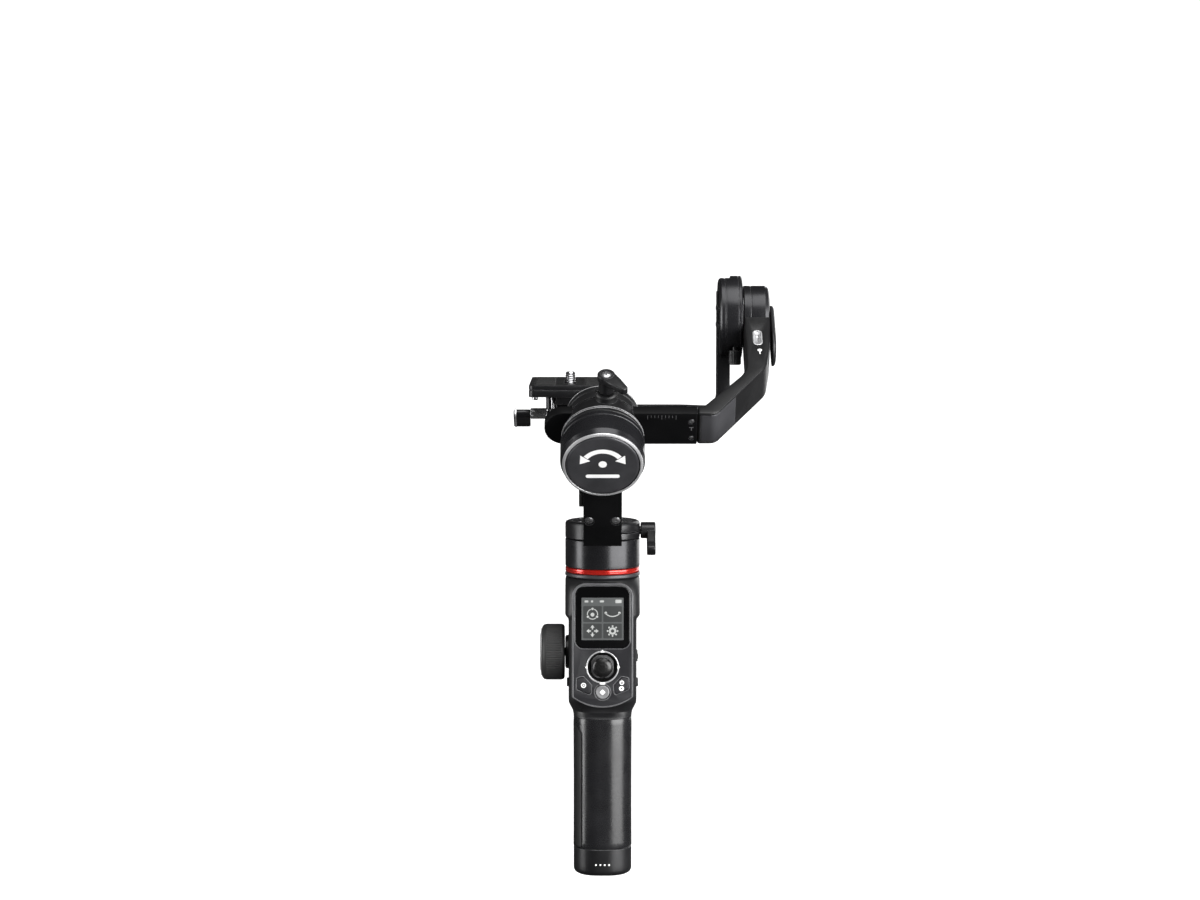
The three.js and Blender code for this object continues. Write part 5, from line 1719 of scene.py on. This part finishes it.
def build_plate():
    x0, x1 = span("quick_release_plate", "X")
    y0, y1 = span("quick_release_plate", "Y")
    low = span("quick_release_plate", "Z")[0]
    mid = (x0 + x1) / 2
    under = span("plate_receiver", "Z")[1] + 0.3
    slab = prism("camera_plate_top", rect((x0, x1), (y0, y1), 3.5, 8), "Z", (under, SEAT_Z))
    line = prism(
        "line", rect((x0 - 2, x1 + 2), (y0 - 2, y1 + 2)), "Z", (SEAT_Z - 2.9, SEAT_Z - 2.5)
    )
    cut(
        line,
        prism(
            "inside", rect((x0 + 0.45, x1 - 0.45), (y0 + 0.45, y1 - 0.45), 3.2, 8), "Z",
            (under, SEAT_Z)
        )
    )
    cut(slab, line)
    soften(slab, 0.5, 3, 40)
    tail = [(mid - 9, low), (mid + 9, low), (mid + 7.6, under + 0.5), (mid - 7.6, under + 0.5)]
    foot = prism("tail", tail, "Y", (y0 + 1, y1 - 1))
    plate = fuse(slab, soften(foot, 0.4, 2, 40))
    cut(
        plate,
        prism(
            "screw_slot", rect((mid - 3.6, mid + 3.6), (-26, 26), 3.6), "Z", (low - 1, SEAT_Z + 1)
        ), prism("head_slot", rect((mid - 6, mid + 6), (-29, 29), 6), "Z", (low - 1, SEAT_Z - 3.4))
    )
    stud = lathe(
        "plate_end_stud",
        [
            (0, under - 1.9), (1.3, under - 1.9), (1.7, under - 1.5), (1.7, under - 0.05),
            (0, under - 0.05)
        ], "Z", (x0 + 3.6, y0 + 5), fillet=0.15, facets=32
    )
    dress(stud, "camera_plate", "steel", STEEL)
    pads = []
    for side in (-1, 1):
        xs = sorted((mid + side * 8.5, mid + side * 20.5))
        cut(
            plate,
            prism("pad_well", rect(xs, (y0 + 6, y1 - 6), 2.2), "Z", (SEAT_Z - 0.9, SEAT_Z + 1))
        )
        inner = (xs[0] + 0.2, xs[1] - 0.2)
        pad = prism(
            "pad", rect(inner, (y0 + 6.2, y1 - 6.2), 2), "Z", (SEAT_Z - 0.88, SEAT_Z + 0.25)
        )
        soften(pad, 0.25, 2, 40)
        grooves = 17
        for k in range(grooves):
            y = y0 + 11 + (y1 - y0 - 22) * k / (grooves - 1)
            cut(
                pad,
                prism(
                    "g", rect((inner[0] + 1.2, inner[1] - 1.2), (y - 0.4, y + 0.4), 0.35), "Z",
                    (SEAT_Z - 0.15, SEAT_Z + 1)
                )
            )
        pads.append(pad)
    dress(plate, "camera_plate", "black_metal", METAL, "quick_release_plate")
    dress(join("plate_pads", pads), "camera_plate", "black_rubber", RUBBER)
    cx, cy = mid, sum(span("camera_screw", "Y")) / 2
    s0, s1 = span("camera_screw", "Z")
    head = span("camera_screw", "X")[1] - mid
    profile = [(0, s0), (head - 0.4, s0), (head, s0 + 0.5), (head, s0 + 2.6), (3.1, s0 + 2.6)]
    z = s0 + 3.4
    while z < s1 - 1.2:
        profile += [(3.15, z), (2.65, z + 0.62)]
        z += 1.27
    profile += [(3.0, s1 - 0.9), (2.4, s1), (0, s1)]
    screw = lathe("camera_bolt", profile, "Z", (cx, cy), facets=64)
    cut(
        screw,
        prism(
            "coin_slot", rect((cx - 4.6, cx + 4.6), (cy - 0.6, cy + 0.6), 0.5), "Z",
            (s0 - 1, s0 + 1.3)
        )
    )
    dress(screw, "plate_screw", "steel", STEEL, "camera_screw")


# ---- Hidden pieces keep their CAD shapes ----
HIDDEN = {
    "copper": (COPPER, ("pan_stator", "roll_stator", "tilt_stator")),
    "steel": (
        STEEL,
        ("pan_magnets", "roll_rotor", "tilt_rotor", "trigger_pin", "joystick_base", "joystick_ring")
    ), "board": (BOARD, ("battery_board", "main_board")),
    "cell": (CELL, ("battery_cell_1", "battery_cell_2")), "display": (DISPLAY, ("display_panel",)),
}


def paint_hidden():
    for look, nodes in HIDDEN.values():
        for node in nodes:
            mesh = frame["nodes"][node].data
            mesh.materials.clear()
            mesh.materials.append(look)


# ---- Stage, lights and camera ----
CAMERA_BACK = 1740
CAMERA_HEIGHT = 396
CAMERA_PITCH = 4.7
FLOOR_DROP = 350
FLOOR_BOUNCE = 0.03  # what the object gets back from the floor
BACKDROP_GLOW = 0.35  # keeps the far backdrop as white as the floor
AMBIENT = 0.06
SUN = 2.7


def stage_surface():
    """A pale floor that curves up into a backdrop."""
    profile = [(-4000, 0), (2200, 0)] + [
        (2200 + y, 1800 + z) for y, z in arc((0, 0), 1800, 270, 360, 24)
    ] + [(4000, 6000)]
    verts = [(x, y, z - FLOOR_DROP) for x in (-6000, 6000) for y, z in profile]
    n = len(profile)
    faces = [(k, k + 1, n + k + 1, n + k) for k in range(n - 1)]
    floor = new_piece("floor", verts, faces)
    floor.data.shade_smooth()
    look = bpy.data.materials.new("pale_floor")
    look.use_nodes = True
    shader = look.node_tree.nodes["Principled BSDF"]
    shader.inputs["Roughness"].default_value = 0.9
    path = look.node_tree.nodes.new("ShaderNodeLightPath")
    pale = tint(look.node_tree, path.outputs["Is Camera Ray"], (FLOOR_BOUNCE,) * 3, (0.9,) * 3)
    link(look.node_tree, pale, shader.inputs["Base Color"])
    shader.inputs["Emission Color"].default_value = (1, 1, 1, 1)
    glow = ranged(look.node_tree, path.outputs["Is Camera Ray"], 0.0, BACKDROP_GLOW, 0.0, 1.0)
    link(look.node_tree, glow, shader.inputs["Emission Strength"])
    floor.data.materials.append(look)


def softbox(name, where, aim, size, power):
    light = bpy.data.lights.new(name, "AREA")
    light.shape = "RECTANGLE"
    light.size, light.size_y = size
    light.energy = power
    lamp = bpy.data.objects.new(name, light)
    lamp.location = where
    lamp.rotation_euler = (Vector(aim) - Vector(where)).to_track_quat("-Z", "Y").to_euler()
    bpy.context.scene.collection.objects.link(lamp)


def light_stage():
    """A white room to the camera and a dim one to the object, a broad sun and three softboxes."""
    world = bpy.data.worlds.new("studio")
    world.use_nodes = True
    tree = world.node_tree
    path = tree.nodes.new("ShaderNodeLightPath")
    strength = tree.nodes.new("ShaderNodeMapRange")
    strength.inputs["To Min"].default_value = AMBIENT
    strength.inputs["To Max"].default_value = 1.0
    link(tree, path.outputs["Is Camera Ray"], strength.inputs["Value"])
    link(tree, strength.outputs["Result"], tree.nodes["Background"].inputs["Strength"])
    tree.nodes["Background"].inputs["Color"].default_value = (1, 1, 1, 1)
    bpy.context.scene.world = world
    sun = bpy.data.lights.new("sun", "SUN")
    sun.energy = SUN
    sun.angle = math.radians(50)
    lamp = bpy.data.objects.new("sun", sun)
    lamp.rotation_euler = (math.radians(24), 0, math.radians(20))
    bpy.context.scene.collection.objects.link(lamp)
    middle = (0, 0, 0.2)
    softbox("right", (1.48, -1.22, 0.4), middle, (2.1, 1.5), 92)
    softbox("left", (-1.7, -0.42, 0.35), middle, (0.6, 1.5), 26)
    softbox("back", (0.9, 1.7, 0.5), middle, (1.2, 1.2), 9)


def add_camera():
    camera = bpy.data.cameras.new("camera")
    camera.lens = 88
    camera.sensor_width = 36
    camera.clip_end = 50
    eye = bpy.data.objects.new("camera", camera)
    eye.location = (-0.0015, -CAMERA_BACK * MM, CAMERA_HEIGHT * MM)
    eye.rotation_euler = (math.radians(90 - CAMERA_PITCH), 0, 0)
    bpy.context.scene.collection.objects.link(eye)
    bpy.context.scene.camera = eye
    bpy.context.scene.view_settings.view_transform = "Standard"


add_camera()
light_stage()
stage_surface()
build_grip()
build_control()
build_panel()
build_stick()
build_wheel()
build_side_buttons()
build_trigger()
build_pan()
build_pan_arm()
build_roll_fixed()
build_roll_head()
build_cross_arm()
build_arm()
build_tilt_head()
build_camera_arm()
build_plate_lever()
build_plate()
paint_hidden()
